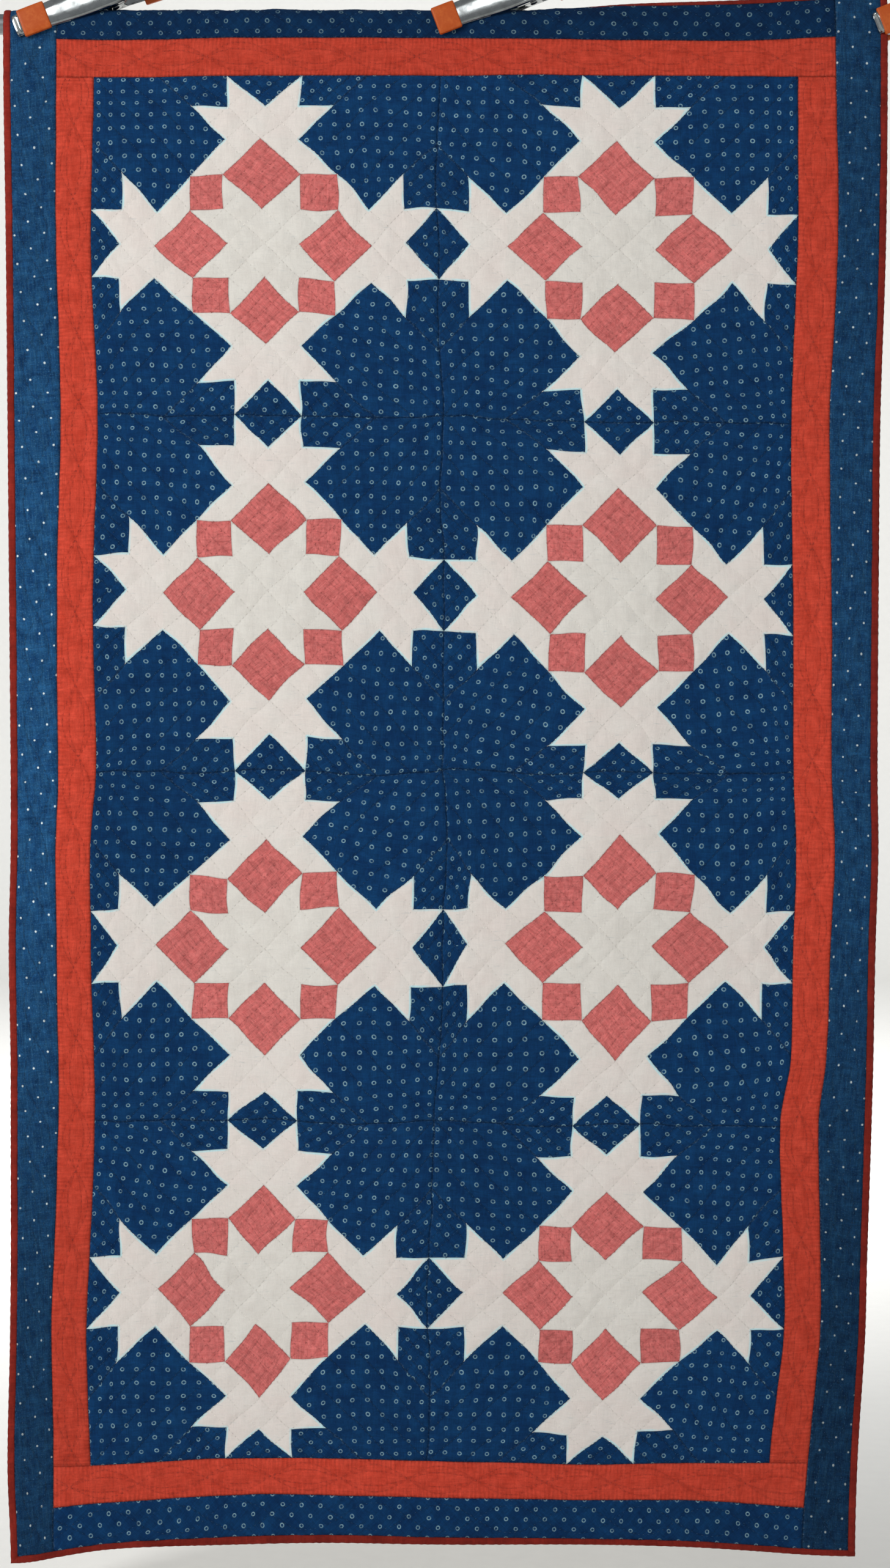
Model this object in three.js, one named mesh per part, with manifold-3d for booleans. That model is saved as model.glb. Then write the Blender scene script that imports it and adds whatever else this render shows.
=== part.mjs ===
// Star quilt hung face on over a round metal rod, with three spring clamps on its top edge.
// Millimetres, +Z up. The origin is on the rod's axis, half way along it.
// +X runs along the rod, to the right for someone facing the quilt, and the quilt's face looks
// along -Y.

import * as THREE from 'three';
import { mergeVertices } from 'three/addons/utils/BufferGeometryUtils.js';
import Module from 'manifold-3d';

const wasm = await Module();
wasm.setup();

// Cut sizes of the quilt's pieces
const BLOCK = 381;
const BLOCK_ROWS = 4;
const BLOCK_COLUMNS = 2;
const CELLS_IN_BLOCK = 10;
const RED_WIDTH = 40.5;
const BLUE_SIDE_WIDTH = 51;
const BLUE_END_WIDTH = 43.5;
const BINDING_WIDTH = 7;

// Thickness of the quilted layers, the height that the padding stands up between the lines of
// quilting, and the gap kept between neighbouring pieces
const QUILT_THICKNESS = 3.4;
const BINDING_THICKNESS = 4.2;
const PADDING_RISE = 1.2;
const GAP = 0.3;

// Rod
const ROD_RADIUS = 11;
const ROD_LENGTH = 1090;
const ROD_SIDES = 32;

// Bend of the quilt over the rod: radius of the middle of its thickness, height of the bend's
// centre, and how far each step of the bend goes along the cloth
const BEND_RADIUS = 14.7;
const BEND_CENTRE_Z = -1.5;
const BEND_STEPS = 12;

// Towards the right end the top edge stands up from the rod instead of bending over it: the
// bend's tightness at a few places along the rod, as a share of the full bend
const BEND_SHARE = {
  x: [81, 315, 484],
  share: [1, 0.51, 0.17],
};

// Where the upright edges and seams of the hung quilt run: x at a few heights
const UPRIGHTS = {
  z: [-19, -245, -430, -623, -821, -911, -1011, -1137, -1204, -1354, -1441, -1576, -1678],
  leftEdge: [-483, -480, -478, -476, -474, -474, -476, -474, -474, -474, -475, -477, -473],
  leftBlueRed: [-424, -425, -420, -424, -423, -425, -424, -422, -422, -427, -430, -427, -427],
  leftRedBlock: [-383, -387, -380, -385, -382, -388, -387, -384, -383, -388, -392, -387, -386],
  middle: [-8, -7, -4, -1, 0, 0, -1, -7, -11, -16, -16, -18, -19],
  rightBlockRed: [385, 386, 379, 381, 382, 385, 382, 378, 367, 371, 371, 355, 351],
  rightRedBlue: [427, 430, 421, 423, 424, 427, 423, 417, 409, 411, 411, 397, 390],
  rightEdge: [484, 482, 476, 474, 473, 474, 471, 468, 466, 462, 460, 451, 448],
};

// Where the level seams and the hem of the hung quilt run: z at a few places across
const LEVELS = {
  x: [-475, -367, -219, -65, 182, 300, 460],
  topBlueRed: [-19, -21, -19, -19, -21, -22, -17],
  topRedBlock: [-62, -62, -60, -60, -60, -61, -61],
  blockRow2: [-429, -429, -430, -433, -438, -439, -439],
  blockRow3: [-821, -821, -821, -821, -822, -822, -822],
  blockRow4: [-1203, -1203, -1203, -1204, -1207, -1207, -1207],
  bottomBlockRed: [-1579, -1578, -1574, -1571, -1578, -1577, -1577],
  bottomRedBlue: [-1627, -1619, -1614, -1611, -1617, -1618, -1627],
  bottomBlueBinding: [-1676, -1665, -1660, -1655, -1660, -1663, -1672],
  hem: [-1683, -1671, -1668, -1663, -1666, -1669, -1678],
};

// Slack of the hung quilt: two long waves across it that grow towards the hem, corners that
// curl forward, and a bulge on the right side where the third seam draws the edge in
const WAVES = [
  { height: 6, length: 620, shift: 120, drift: 0 },
  { height: 3.5, length: 340, shift: -40, drift: 1 / 500 },
];
const WAVE_TOP_Z = -31;
const WAVE_FULL_Z = -1111;
const CORNER_CURL = { height: 9, fromX: 330, toX: 480, fromZ: -1431, toZ: -1681 };
const SIDE_BULGE = { height: 7, fromX: 250, toX: 440, z: -1204, reach: 130 };

// Spring clamps: the place of each jaw's tip and the slant of the clamp
const CLAMPS = {
  left: { x: -468, z: -5 },
  middle: { x: -9, z: -2 },
  right: { x: 475, z: -1.5 },
};
const CLAMP_SLANT = THREE.MathUtils.degToRad(21);

// Sizes along one clamp, measured from the jaw's tip
const PAD_LENGTH = 25;
const PAD_WIDTH = 28;
const PAD_WALL = 2;
const STEEL = 2;
const PIVOT_ALONG = 108;
const GRIP_START = 132;
const ARM_END = 184;
const ARM_OUTLINE = {
  along: [0, 30, 76, 118, 184],
  halfWidth: [11.7, 13, 16, 15.5, 12],
};
const PAD_FACE_FRONT = -(BEND_RADIUS + BINDING_THICKNESS / 2 + 0.4);
const PAD_FACE_BACK = ROD_RADIUS + 0.4;
const PIVOT_DEPTH = (PAD_FACE_FRONT + PAD_FACE_BACK) / 2;
const JAW_DEPTH = PIVOT_DEPTH - PAD_FACE_FRONT + PAD_WALL + GAP + STEEL / 2;
const ARM_PROFILE = {
  along: [0, 30, 96, 116, 184],
  depth: [JAW_DEPTH, JAW_DEPTH, 18, 18, 38],
};
const EAR_OUTSIDE = 15.5;
const PIN_PROUD = 1.5;
const EAR = { from: 98.5, to: 118, past: 6, thickness: 1.8 };
const PIN_RADIUS = 3;
const SPRING_RADIUS = 8;
const ROUND_SIDES = 20;
const PAST_WIDTH = 60;
const PAST_DEPTH = 120;

// Finishes
const FINISHES = {
  ringPrint: { color: 0x123560, roughness: 0.95, metalness: 0 },
  dotPrint: { color: 0x1d4a74, roughness: 0.95, metalness: 0 },
  red: { color: 0xc5392b, roughness: 0.95, metalness: 0 },
  binding: { color: 0x97261f, roughness: 0.95, metalness: 0 },
  steel: { color: 0xb9bcc0, roughness: 0.3, metalness: 1 },
  vinyl: { color: 0xd8641e, roughness: 0.5, metalness: 0 },
};

// A smooth line through matching lists of positions and values, level past its ends.
function smoothLine(positions, values) {
  const rising = positions[1] > positions[0] ? 1 : -1;
  const last = positions.length - 1;
  const slopes = values.map((_, i) => {
    if (i === 0 || i === last) return 0;
    return (values[i + 1] - values[i - 1]) / (positions[i + 1] - positions[i - 1]);
  });
  return (position) => {
    if ((position - positions[0]) * rising <= 0) return values[0];
    if ((position - positions[last]) * rising >= 0) return values[last];
    let i = 0;
    while ((position - positions[i + 1]) * rising > 0) i += 1;
    const step = positions[i + 1] - positions[i];
    const t = (position - positions[i]) / step;
    const t2 = t * t;
    const t3 = t2 * t;
    return (2 * t3 - 3 * t2 + 1) * values[i] + (t3 - 2 * t2 + t) * step * slopes[i]
      + (3 * t2 - 2 * t3) * values[i + 1] + (t3 - t2) * step * slopes[i + 1];
  };
}

const uprightAt = {};
for (const name of Object.keys(UPRIGHTS).filter((key) => key !== 'z')) {
  uprightAt[name] = smoothLine(UPRIGHTS.z, UPRIGHTS[name]);
}
const levelAt = {};
for (const name of Object.keys(LEVELS).filter((key) => key !== 'x')) {
  levelAt[name] = smoothLine(LEVELS.x, LEVELS[name]);
}
const bendShareAt = smoothLine(BEND_SHARE.x, BEND_SHARE.share);

// Lines of the quilt as it was cut, from its left edge and from its top edge
const CUT_WIDTH = 2 * (BINDING_WIDTH + BLUE_SIDE_WIDTH + RED_WIDTH) + BLOCK_COLUMNS * BLOCK;
const CUT_LENGTH = 2 * (BINDING_WIDTH + BLUE_END_WIDTH + RED_WIDTH) + BLOCK_ROWS * BLOCK;
const BLOCKS_LEFT = BINDING_WIDTH + BLUE_SIDE_WIDTH + RED_WIDTH;
const BLOCKS_TOP = BINDING_WIDTH + BLUE_END_WIDTH + RED_WIDTH;
const ACROSS = [
  [0, (z) => uprightAt.leftEdge(z)],
  [BINDING_WIDTH, (z) => uprightAt.leftEdge(z) + BINDING_WIDTH],
  [BINDING_WIDTH + BLUE_SIDE_WIDTH, uprightAt.leftBlueRed],
  [BLOCKS_LEFT, uprightAt.leftRedBlock],
  [BLOCKS_LEFT + BLOCK, uprightAt.middle],
  [BLOCKS_LEFT + 2 * BLOCK, uprightAt.rightBlockRed],
  [CUT_WIDTH - BINDING_WIDTH - BLUE_SIDE_WIDTH, uprightAt.rightRedBlue],
  [CUT_WIDTH - BINDING_WIDTH, (z) => uprightAt.rightEdge(z) - BINDING_WIDTH],
  [CUT_WIDTH, uprightAt.rightEdge],
];
const DOWN = [
  [BINDING_WIDTH + BLUE_END_WIDTH, levelAt.topBlueRed],
  [BLOCKS_TOP, levelAt.topRedBlock],
  [BLOCKS_TOP + BLOCK, levelAt.blockRow2],
  [BLOCKS_TOP + 2 * BLOCK, levelAt.blockRow3],
  [BLOCKS_TOP + 3 * BLOCK, levelAt.blockRow4],
  [BLOCKS_TOP + 4 * BLOCK, levelAt.bottomBlockRed],
  [CUT_LENGTH - BINDING_WIDTH - BLUE_END_WIDTH, levelAt.bottomRedBlue],
  [CUT_LENGTH - BINDING_WIDTH, levelAt.bottomBlueBinding],
  [CUT_LENGTH, levelAt.hem],
];

// The value between the two lines that a cut position lies between.
function betweenLines(lines, position, at) {
  let i = 0;
  while (i < lines.length - 2 && position > lines[i + 1][0]) i += 1;
  const [start, first] = lines[i];
  const [end, second] = lines[i + 1];
  return THREE.MathUtils.mapLinear(position, start, end, first(at), second(at));
}

// How far the slack brings the quilt forward of its hanging plane.
function slack(x, z) {
  const grown = THREE.MathUtils.smoothstep(-z, -WAVE_TOP_Z, -WAVE_FULL_Z);
  let forward = 0;
  for (const wave of WAVES) {
    const phase = (2 * Math.PI * (x + wave.shift)) / wave.length + z * wave.drift;
    forward += wave.height * Math.sin(phase);
  }
  const curl = THREE.MathUtils.smoothstep(Math.abs(x), CORNER_CURL.fromX, CORNER_CURL.toX)
    * THREE.MathUtils.smoothstep(-z, -CORNER_CURL.fromZ, -CORNER_CURL.toZ);
  const bulge = THREE.MathUtils.smoothstep(x, SIDE_BULGE.fromX, SIDE_BULGE.toX)
    * Math.exp(-(((z - SIDE_BULGE.z) / SIDE_BULGE.reach) ** 2));
  return grown * forward + CORNER_CURL.height * curl + SIDE_BULGE.height * bulge;
}

// The point of the hung quilt's middle layer at a place u across and v down its cut shape.
function hungPoint(u, v) {
  const evenX = u - CUT_WIDTH / 2;
  const bendLine = DOWN[0][0];
  let z = betweenLines(DOWN, Math.max(v, bendLine), evenX);
  const x = betweenLines(ACROSS, u, z);
  if (v >= bendLine) return new THREE.Vector3(x, -BEND_RADIUS - slack(x, z), z);
  const up = bendLine - v;
  const straight = BEND_CENTRE_Z - z;
  if (up <= straight) return new THREE.Vector3(x, -BEND_RADIUS, z + up);
  const radius = BEND_RADIUS / bendShareAt(x);
  const turn = (up - straight) / radius;
  z = BEND_CENTRE_Z + radius * Math.sin(turn);
  return new THREE.Vector3(x, -BEND_RADIUS + radius * (1 - Math.cos(turn)), z);
}

// The direction that the quilt's face looks in at a place on its cut shape.
function faceDirection(u, v) {
  const reach = 1;
  const acrossStart = hungPoint(Math.max(u - reach, 0), v);
  const acrossEnd = hungPoint(Math.min(u + reach, CUT_WIDTH), v);
  const downStart = hungPoint(u, Math.max(v - reach, 0));
  const downEnd = hungPoint(u, Math.min(v + reach, CUT_LENGTH));
  const across = acrossEnd.sub(acrossStart);
  const down = downEnd.sub(downStart);
  return down.cross(across).normalize();
}

// Evenly spaced positions from one line to the next, the last one left for the next stretch.
function stretch(start, end, count) {
  return Array.from({ length: count }, (_, i) => start + ((end - start) * i) / count);
}

const BLOCKS_RIGHT = BLOCKS_LEFT + BLOCK_COLUMNS * BLOCK;
const BLOCKS_BOTTOM = BLOCKS_TOP + BLOCK_ROWS * BLOCK;
const U_LINES = [
  0, BINDING_WIDTH, BLOCKS_LEFT - RED_WIDTH,
  ...stretch(BLOCKS_LEFT, BLOCKS_RIGHT, BLOCK_COLUMNS * CELLS_IN_BLOCK),
  BLOCKS_RIGHT, BLOCKS_RIGHT + RED_WIDTH, CUT_WIDTH - BINDING_WIDTH, CUT_WIDTH,
];
const V_LINES = [
  ...stretch(0, BINDING_WIDTH, 2),
  ...stretch(BINDING_WIDTH, BLOCKS_TOP - RED_WIDTH, BEND_STEPS),
  BLOCKS_TOP - RED_WIDTH,
  ...stretch(BLOCKS_TOP, BLOCKS_BOTTOM, BLOCK_ROWS * CELLS_IN_BLOCK),
  BLOCKS_BOTTOM, BLOCKS_BOTTOM + RED_WIDTH, CUT_LENGTH - BINDING_WIDTH, CUT_LENGTH,
];

// The part of a list of lines from one position to another, its ends drawn in by half a gap.
function linesWithin(lines, start, end) {
  const close = 1e-6;
  const kept = lines.filter((line) => line > start + close && line < end - close);
  return [start + GAP / 2, ...kept, end - GAP / 2];
}

// The cells of the bend are short, and stay flat between their corners.
const PADDED_CELL_LENGTH = 20;

// A closed solid for the piece of the quilt between two places across and two places down.
// Where it is padded, the middle of each of its full cells stands up on the face.
function quiltPiece({ left, right, top, bottom, thickness = QUILT_THICKNESS, padded = true }) {
  const us = linesWithin(U_LINES, left, right);
  const vs = linesWithin(V_LINES, top, bottom);
  const positions = [];
  const triangles = [];
  const addPoint = (u, v, offset) => {
    const point = hungPoint(u, v).addScaledVector(faceDirection(u, v), offset);
    positions.push(point.x, point.y, point.z);
    return positions.length / 3 - 1;
  };
  const raisedOffset = thickness / 2 + PADDING_RISE;
  const layer = (offset) => vs.map((v) => us.map((u) => addPoint(u, v, offset)));
  const face = layer(thickness / 2);
  const back = layer(-thickness / 2);
  for (let j = 0; j < vs.length - 1; j += 1) {
    for (let i = 0; i < us.length - 1; i += 1) {
      const corners = [face[j][i], face[j + 1][i], face[j + 1][i + 1], face[j][i + 1]];
      if (padded && vs[j + 1] - vs[j] > PADDED_CELL_LENGTH) {
        const raised = addPoint((us[i] + us[i + 1]) / 2, (vs[j] + vs[j + 1]) / 2, raisedOffset);
        corners.forEach((corner, k) => triangles.push(raised, corner, corners[(k + 1) % 4]));
      } else {
        triangles.push(corners[0], corners[1], corners[2], corners[0], corners[2], corners[3]);
      }
      triangles.push(back[j][i], back[j + 1][i + 1], back[j + 1][i]);
      triangles.push(back[j][i], back[j][i + 1], back[j + 1][i + 1]);
    }
  }
  const rim = [];
  for (let j = 0; j < vs.length - 1; j += 1) rim.push([j, 0]);
  for (let i = 0; i < us.length - 1; i += 1) rim.push([vs.length - 1, i]);
  for (let j = vs.length - 1; j > 0; j -= 1) rim.push([j, us.length - 1]);
  for (let i = us.length - 1; i > 0; i -= 1) rim.push([0, i]);
  rim.forEach(([j, i], k) => {
    const [nextJ, nextI] = rim[(k + 1) % rim.length];
    triangles.push(face[j][i], back[j][i], back[nextJ][nextI]);
    triangles.push(face[j][i], back[nextJ][nextI], face[nextJ][nextI]);
  });
  const geometry = new THREE.BufferGeometry();
  geometry.setAttribute('position', new THREE.Float32BufferAttribute(positions, 3));
  geometry.setIndex(triangles);
  return geometry;
}

// A manifold solid from a closed geometry, and the geometry of a manifold solid.
function toSolid(geometry) {
  geometry.deleteAttribute('normal');
  geometry.deleteAttribute('uv');
  const merged = mergeVertices(geometry, 1e-5);
  return new wasm.Manifold(new wasm.Mesh({
    numProp: 3,
    vertProperties: new Float32Array(merged.attributes.position.array),
    triVerts: new Uint32Array(merged.index.array),
  }));
}

function toGeometry(solid) {
  const mesh = solid.getMesh();
  const geometry = new THREE.BufferGeometry();
  geometry.setAttribute('position', new THREE.BufferAttribute(mesh.vertProperties, 3));
  geometry.setIndex(new THREE.BufferAttribute(mesh.triVerts, 1));
  return geometry;
}

// A prism from an outline, pushed along +Z from a start height.
function prism(points, start, height) {
  const shape = new THREE.Shape(points);
  const geometry = new THREE.ExtrudeGeometry(shape, { depth: height, bevelEnabled: false });
  return geometry.translate(0, 0, start);
}

// In a clamp's own frame x runs from the jaw's tip to the handles, y is the clamp's depth and z
// runs across its width. The band follows the bent side view of the front arm, and the plan is
// its outline seen from the front. Both are grown by a margin on every side.
function armBand(from, to, margin, width) {
  const depthAt = (along) => {
    const last = ARM_PROFILE.along.length - 1;
    let i = 0;
    while (i < last - 1 && along > ARM_PROFILE.along[i + 1]) i += 1;
    return THREE.MathUtils.mapLinear(along, ARM_PROFILE.along[i], ARM_PROFILE.along[i + 1],
      ARM_PROFILE.depth[i], ARM_PROFILE.depth[i + 1]);
  };
  const stations = [from, ...ARM_PROFILE.along.filter((along) => along > from && along < to), to];
  const half = STEEL / 2 + margin;
  const outer = stations.map((along) => new THREE.Vector2(along, PIVOT_DEPTH - depthAt(along) - half));
  const inner = stations.map((along) => new THREE.Vector2(along, PIVOT_DEPTH - depthAt(along) + half));
  return toSolid(prism([...outer, ...inner.reverse()], -width / 2, width));
}

function armPlan(from, to, margin) {
  const widthAt = smoothLine(ARM_OUTLINE.along, ARM_OUTLINE.halfWidth);
  const stations = [from, ...ARM_OUTLINE.along.filter((along) => along > from && along < to), to];
  const upper = stations.map((along) => new THREE.Vector2(along, widthAt(along) + margin));
  const lower = stations.map((along) => new THREE.Vector2(along, -widthAt(along) - margin));
  const geometry = prism([...lower, ...upper.reverse()], -PAST_DEPTH / 2, PAST_DEPTH);
  return toSolid(geometry.rotateX(Math.PI / 2));
}

function armShape(from, to, margin) {
  return armBand(from, to, margin, PAST_WIDTH).intersect(armPlan(from, to, margin));
}

function box(xs, ys, zs) {
  const geometry = new THREE.BoxGeometry(xs[1] - xs[0], ys[1] - ys[0], zs[1] - zs[0]);
  geometry.translate((xs[0] + xs[1]) / 2, (ys[0] + ys[1]) / 2, (zs[0] + zs[1]) / 2);
  return toSolid(geometry);
}

function roundBar(radius, length) {
  const geometry = new THREE.CylinderGeometry(radius, radius, length, ROUND_SIDES);
  geometry.rotateX(Math.PI / 2).translate(PIVOT_ALONG, PIVOT_DEPTH, 0);
  return toSolid(geometry);
}

// An arm: the bent plate with two ears that hold the pivot pin. The ears of the back arm lie
// inside those of the front arm.
function armSolid(earOutside) {
  const front = PIVOT_DEPTH - ARM_PROFILE.depth[2];
  let arm = armShape(0, ARM_END, 0);
  for (const side of [-1, 1]) {
    const across = [side * earOutside, side * (earOutside - EAR.thickness)].sort((a, b) => a - b);
    arm = arm.add(box([EAR.from, EAR.to], [front, PIVOT_DEPTH + EAR.past], across));
  }
  return arm.subtract(roundBar(PIN_RADIUS + GAP, PAST_WIDTH));
}

// A moulded sleeve over a stretch of the arm.
function sleeveSolid(from, to, closedEnd) {
  const outside = armShape(from, to, PAD_WALL + GAP);
  const steelFrom = closedEnd === 'tip' ? from + PAD_WALL : from - 1;
  const steelTo = closedEnd === 'tip' ? to + 1 : to - PAD_WALL;
  return outside.subtract(armShape(steelFrom, steelTo, GAP));
}

// The torsion spring round the pin, as one closed ring of its outer shape.
function springSolid(length) {
  return roundBar(SPRING_RADIUS, length).subtract(roundBar(PIN_RADIUS + GAP, PAST_WIDTH));
}

function finish(name) {
  return new THREE.MeshStandardMaterial(FINISHES[name]);
}

function namedMesh(name, geometry, finishName) {
  const mesh = new THREE.Mesh(geometry, finish(finishName));
  mesh.name = name;
  return mesh;
}

// The quilt: eight blocks, a red and a blue border round them, and a narrow binding.
function makeQuilt() {
  const quilt = new THREE.Group();
  for (let row = 0; row < BLOCK_ROWS; row += 1) {
    for (let column = 0; column < BLOCK_COLUMNS; column += 1) {
      const left = BLOCKS_LEFT + column * BLOCK;
      const top = BLOCKS_TOP + row * BLOCK;
      const piece = quiltPiece({ left, right: left + BLOCK, top, bottom: top + BLOCK });
      quilt.add(namedMesh(`block_row${row + 1}_col${column + 1}`, piece, 'ringPrint'));
    }
  }
  const redLeft = BLOCKS_LEFT - RED_WIDTH;
  const redRight = BLOCKS_RIGHT + RED_WIDTH;
  const redTop = BLOCKS_TOP - RED_WIDTH;
  const redBottom = BLOCKS_BOTTOM + RED_WIDTH;
  const blueRight = CUT_WIDTH - BINDING_WIDTH;
  const blueBottom = CUT_LENGTH - BINDING_WIDTH;
  const bound = { thickness: BINDING_THICKNESS, padded: false };
  const withinReds = { left: redLeft, right: redRight };
  const besideBlocks = { top: BLOCKS_TOP, bottom: BLOCKS_BOTTOM };
  const overRod = { top: BINDING_WIDTH, bottom: redTop };
  const belowRod = { top: redTop, bottom: blueBottom };
  const fullWidth = { left: 0, right: CUT_WIDTH };
  const uprights = [
    ['blue_border_left', 'dotPrint', { left: BINDING_WIDTH, right: redLeft }],
    ['blue_border_right', 'dotPrint', { left: redRight, right: blueRight }],
    ['binding_left', 'binding', { ...bound, left: 0, right: BINDING_WIDTH }],
    ['binding_right', 'binding', { ...bound, left: blueRight, right: CUT_WIDTH }],
  ];
  const strips = [
    ['red_border_top', 'red', { ...withinReds, top: redTop, bottom: BLOCKS_TOP }],
    ['red_border_bottom', 'red', { ...withinReds, top: BLOCKS_BOTTOM, bottom: redBottom }],
    ['red_border_left', 'red', { ...besideBlocks, left: redLeft, right: BLOCKS_LEFT }],
    ['red_border_right', 'red', { ...besideBlocks, left: BLOCKS_RIGHT, right: redRight }],
    ['blue_border_top', 'ringPrint', { ...withinReds, ...overRod }],
    ['blue_border_bottom', 'ringPrint', { ...withinReds, top: redBottom, bottom: blueBottom }],
    ['binding_top', 'binding', { ...fullWidth, ...bound, top: 0, bottom: BINDING_WIDTH }],
    ['binding_bottom', 'binding', { ...fullWidth, ...bound, top: blueBottom, bottom: CUT_LENGTH }],
  ];
  // The upright strips are two solids each, one bent over the rod and one hanging below it.
  for (const [name, finishName, place] of uprights) {
    strips.push([name, finishName, { ...place, ...belowRod }]);
    strips.push([`${name}_over_rod`, finishName, { ...place, ...overRod }]);
  }
  for (const [name, finishName, place] of strips) {
    quilt.add(namedMesh(name, quiltPiece(place), finishName));
  }
  return quilt;
}

function makeRod() {
  const geometry = new THREE.CylinderGeometry(ROD_RADIUS, ROD_RADIUS, ROD_LENGTH, ROD_SIDES);
  return namedMesh('rod', geometry.rotateZ(Math.PI / 2), 'steel');
}

// One clamp of two pivoted arms with vinyl tips and grips. The back arm is the front arm's
// mirror image about the pivot, with its ears set inside the other's.
function makeClamp(name, { x, z }) {
  const clamp = new THREE.Group();
  const backEarOutside = EAR_OUTSIDE - EAR.thickness - GAP;
  const mirror = (solid) => solid.mirror([0, 1, 0]).translate([0, 2 * PIVOT_DEPTH, 0]);
  const pad = sleeveSolid(-PAD_WALL - GAP, PAD_LENGTH, 'tip');
  const grip = sleeveSolid(GRIP_START, ARM_END + PAD_WALL + GAP, 'end');
  const pieces = [
    ['arm_front', armSolid(EAR_OUTSIDE), 'steel'],
    ['arm_back', mirror(armSolid(backEarOutside)), 'steel'],
    ['pad_front', pad, 'vinyl'],
    ['pad_back', mirror(pad), 'vinyl'],
    ['grip_front', grip, 'vinyl'],
    ['grip_back', mirror(grip), 'vinyl'],
    ['pin', roundBar(PIN_RADIUS, 2 * (EAR_OUTSIDE + PIN_PROUD)), 'steel'],
    ['spring', springSolid(2 * (backEarOutside - EAR.thickness - GAP)), 'steel'],
  ];
  for (const [piece, solid, finishName] of pieces) {
    clamp.add(namedMesh(`clamp_${name}_${piece}`, toGeometry(solid), finishName));
  }
  clamp.rotation.y = -CLAMP_SLANT;
  clamp.position.set(x, 0, z);
  return clamp;
}

const model = new THREE.Group();
model.add(makeQuilt());
model.add(makeRod());
for (const [name, place] of Object.entries(CLAMPS)) model.add(makeClamp(name, place));

export default model;
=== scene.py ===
"""Star quilt hung over a rod with three spring clamps: its looks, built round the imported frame."""

import math

import bmesh
import bpy
import numpy as np
from bpy.props import FloatProperty, FloatVectorProperty, PointerProperty
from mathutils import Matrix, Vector


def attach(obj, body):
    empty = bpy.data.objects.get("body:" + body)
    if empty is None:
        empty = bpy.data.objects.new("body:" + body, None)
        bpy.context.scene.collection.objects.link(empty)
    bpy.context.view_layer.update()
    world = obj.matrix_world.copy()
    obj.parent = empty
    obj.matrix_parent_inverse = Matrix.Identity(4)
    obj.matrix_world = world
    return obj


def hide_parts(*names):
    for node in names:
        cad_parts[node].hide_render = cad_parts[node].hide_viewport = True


bl_info = {
    "name": "Star quilt on a rod",
    "version": (1, 0, 0),
    "blender": (4, 5, 0),
    "location": "View3D > Sidebar > Quilt",
    "description": "Builds a hand quilted star quilt with its rod and clamps",
    "category": "Add Mesh",
}

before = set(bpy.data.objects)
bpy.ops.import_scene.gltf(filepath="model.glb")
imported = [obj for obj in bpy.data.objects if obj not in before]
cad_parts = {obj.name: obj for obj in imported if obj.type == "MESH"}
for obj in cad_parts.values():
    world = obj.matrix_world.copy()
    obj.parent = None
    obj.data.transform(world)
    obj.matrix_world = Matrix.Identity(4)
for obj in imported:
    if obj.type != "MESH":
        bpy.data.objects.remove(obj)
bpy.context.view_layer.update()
MM = 0.001

# Cut sizes of the quilt's pieces, in millimetres
BLOCK = 381.0
BLOCK_ROWS = 4
BLOCK_COLUMNS = 2
UNITS = 10
UNIT = BLOCK / UNITS
RED_WIDTH = 40.5
BLUE_SIDE_WIDTH = 51.0
BLUE_END_WIDTH = 43.5
BINDING_WIDTH = 7.0
BLOCKS_LEFT = BINDING_WIDTH + BLUE_SIDE_WIDTH + RED_WIDTH
BLOCKS_TOP = BINDING_WIDTH + BLUE_END_WIDTH + RED_WIDTH
BLOCKS_RIGHT = BLOCKS_LEFT + BLOCK_COLUMNS * BLOCK
BLOCKS_BOTTOM = BLOCKS_TOP + BLOCK_ROWS * BLOCK
CUT_WIDTH = BLOCKS_RIGHT + BLOCKS_LEFT
CUT_LENGTH = BLOCKS_BOTTOM + BLOCKS_TOP
RED_LEFT = BLOCKS_LEFT - RED_WIDTH
RED_RIGHT = BLOCKS_RIGHT + RED_WIDTH
RED_TOP = BLOCKS_TOP - RED_WIDTH
RED_BOTTOM = BLOCKS_BOTTOM + RED_WIDTH
INNER_RIGHT = CUT_WIDTH - BINDING_WIDTH
INNER_BOTTOM = CUT_LENGTH - BINDING_WIDTH

# Bend over the rod, in millimetres, and how much of its curve the quilt has at some places x
ROD_RADIUS = 11.0
BEND_RADIUS = 14.7
BEND_CENTRE_Z = -1.5
BEND_SHARE = {"x": [81, 200, 315, 484], "share": [1, 0.64, 0.46, 0.17]}

# Where the upright edges and seams of the hung quilt run: x at a few heights z
UPRIGHTS = {
    "z": [-19, -245, -430, -623, -821, -911, -1011, -1137, -1204, -1354, -1441, -1576, -1678],
    "left_edge": [-483, -480, -478, -476, -474, -474, -476, -474, -474, -474, -475, -477, -473],
    "left_blue_red": [-424, -425, -420, -424, -423, -425, -424, -422, -422, -427, -430, -427, -427],
    "left_red_block": [-383, -387, -380, -385, -382, -388, -387, -384, -383, -388, -392, -387, -386],
    "middle": [-8, -7, -4, -1, 0, 0, -1, -7, -11, -16, -16, -18, -19],
    "right_block_red": [385, 386, 379, 381, 382, 385, 382, 378, 367, 371, 371, 355, 351],
    "right_red_blue": [427, 430, 421, 423, 424, 427, 423, 417, 409, 411, 411, 397, 390],
    "right_edge": [484, 482, 476, 474, 473, 474, 471, 468, 466, 462, 460, 451, 448],
}

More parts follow.
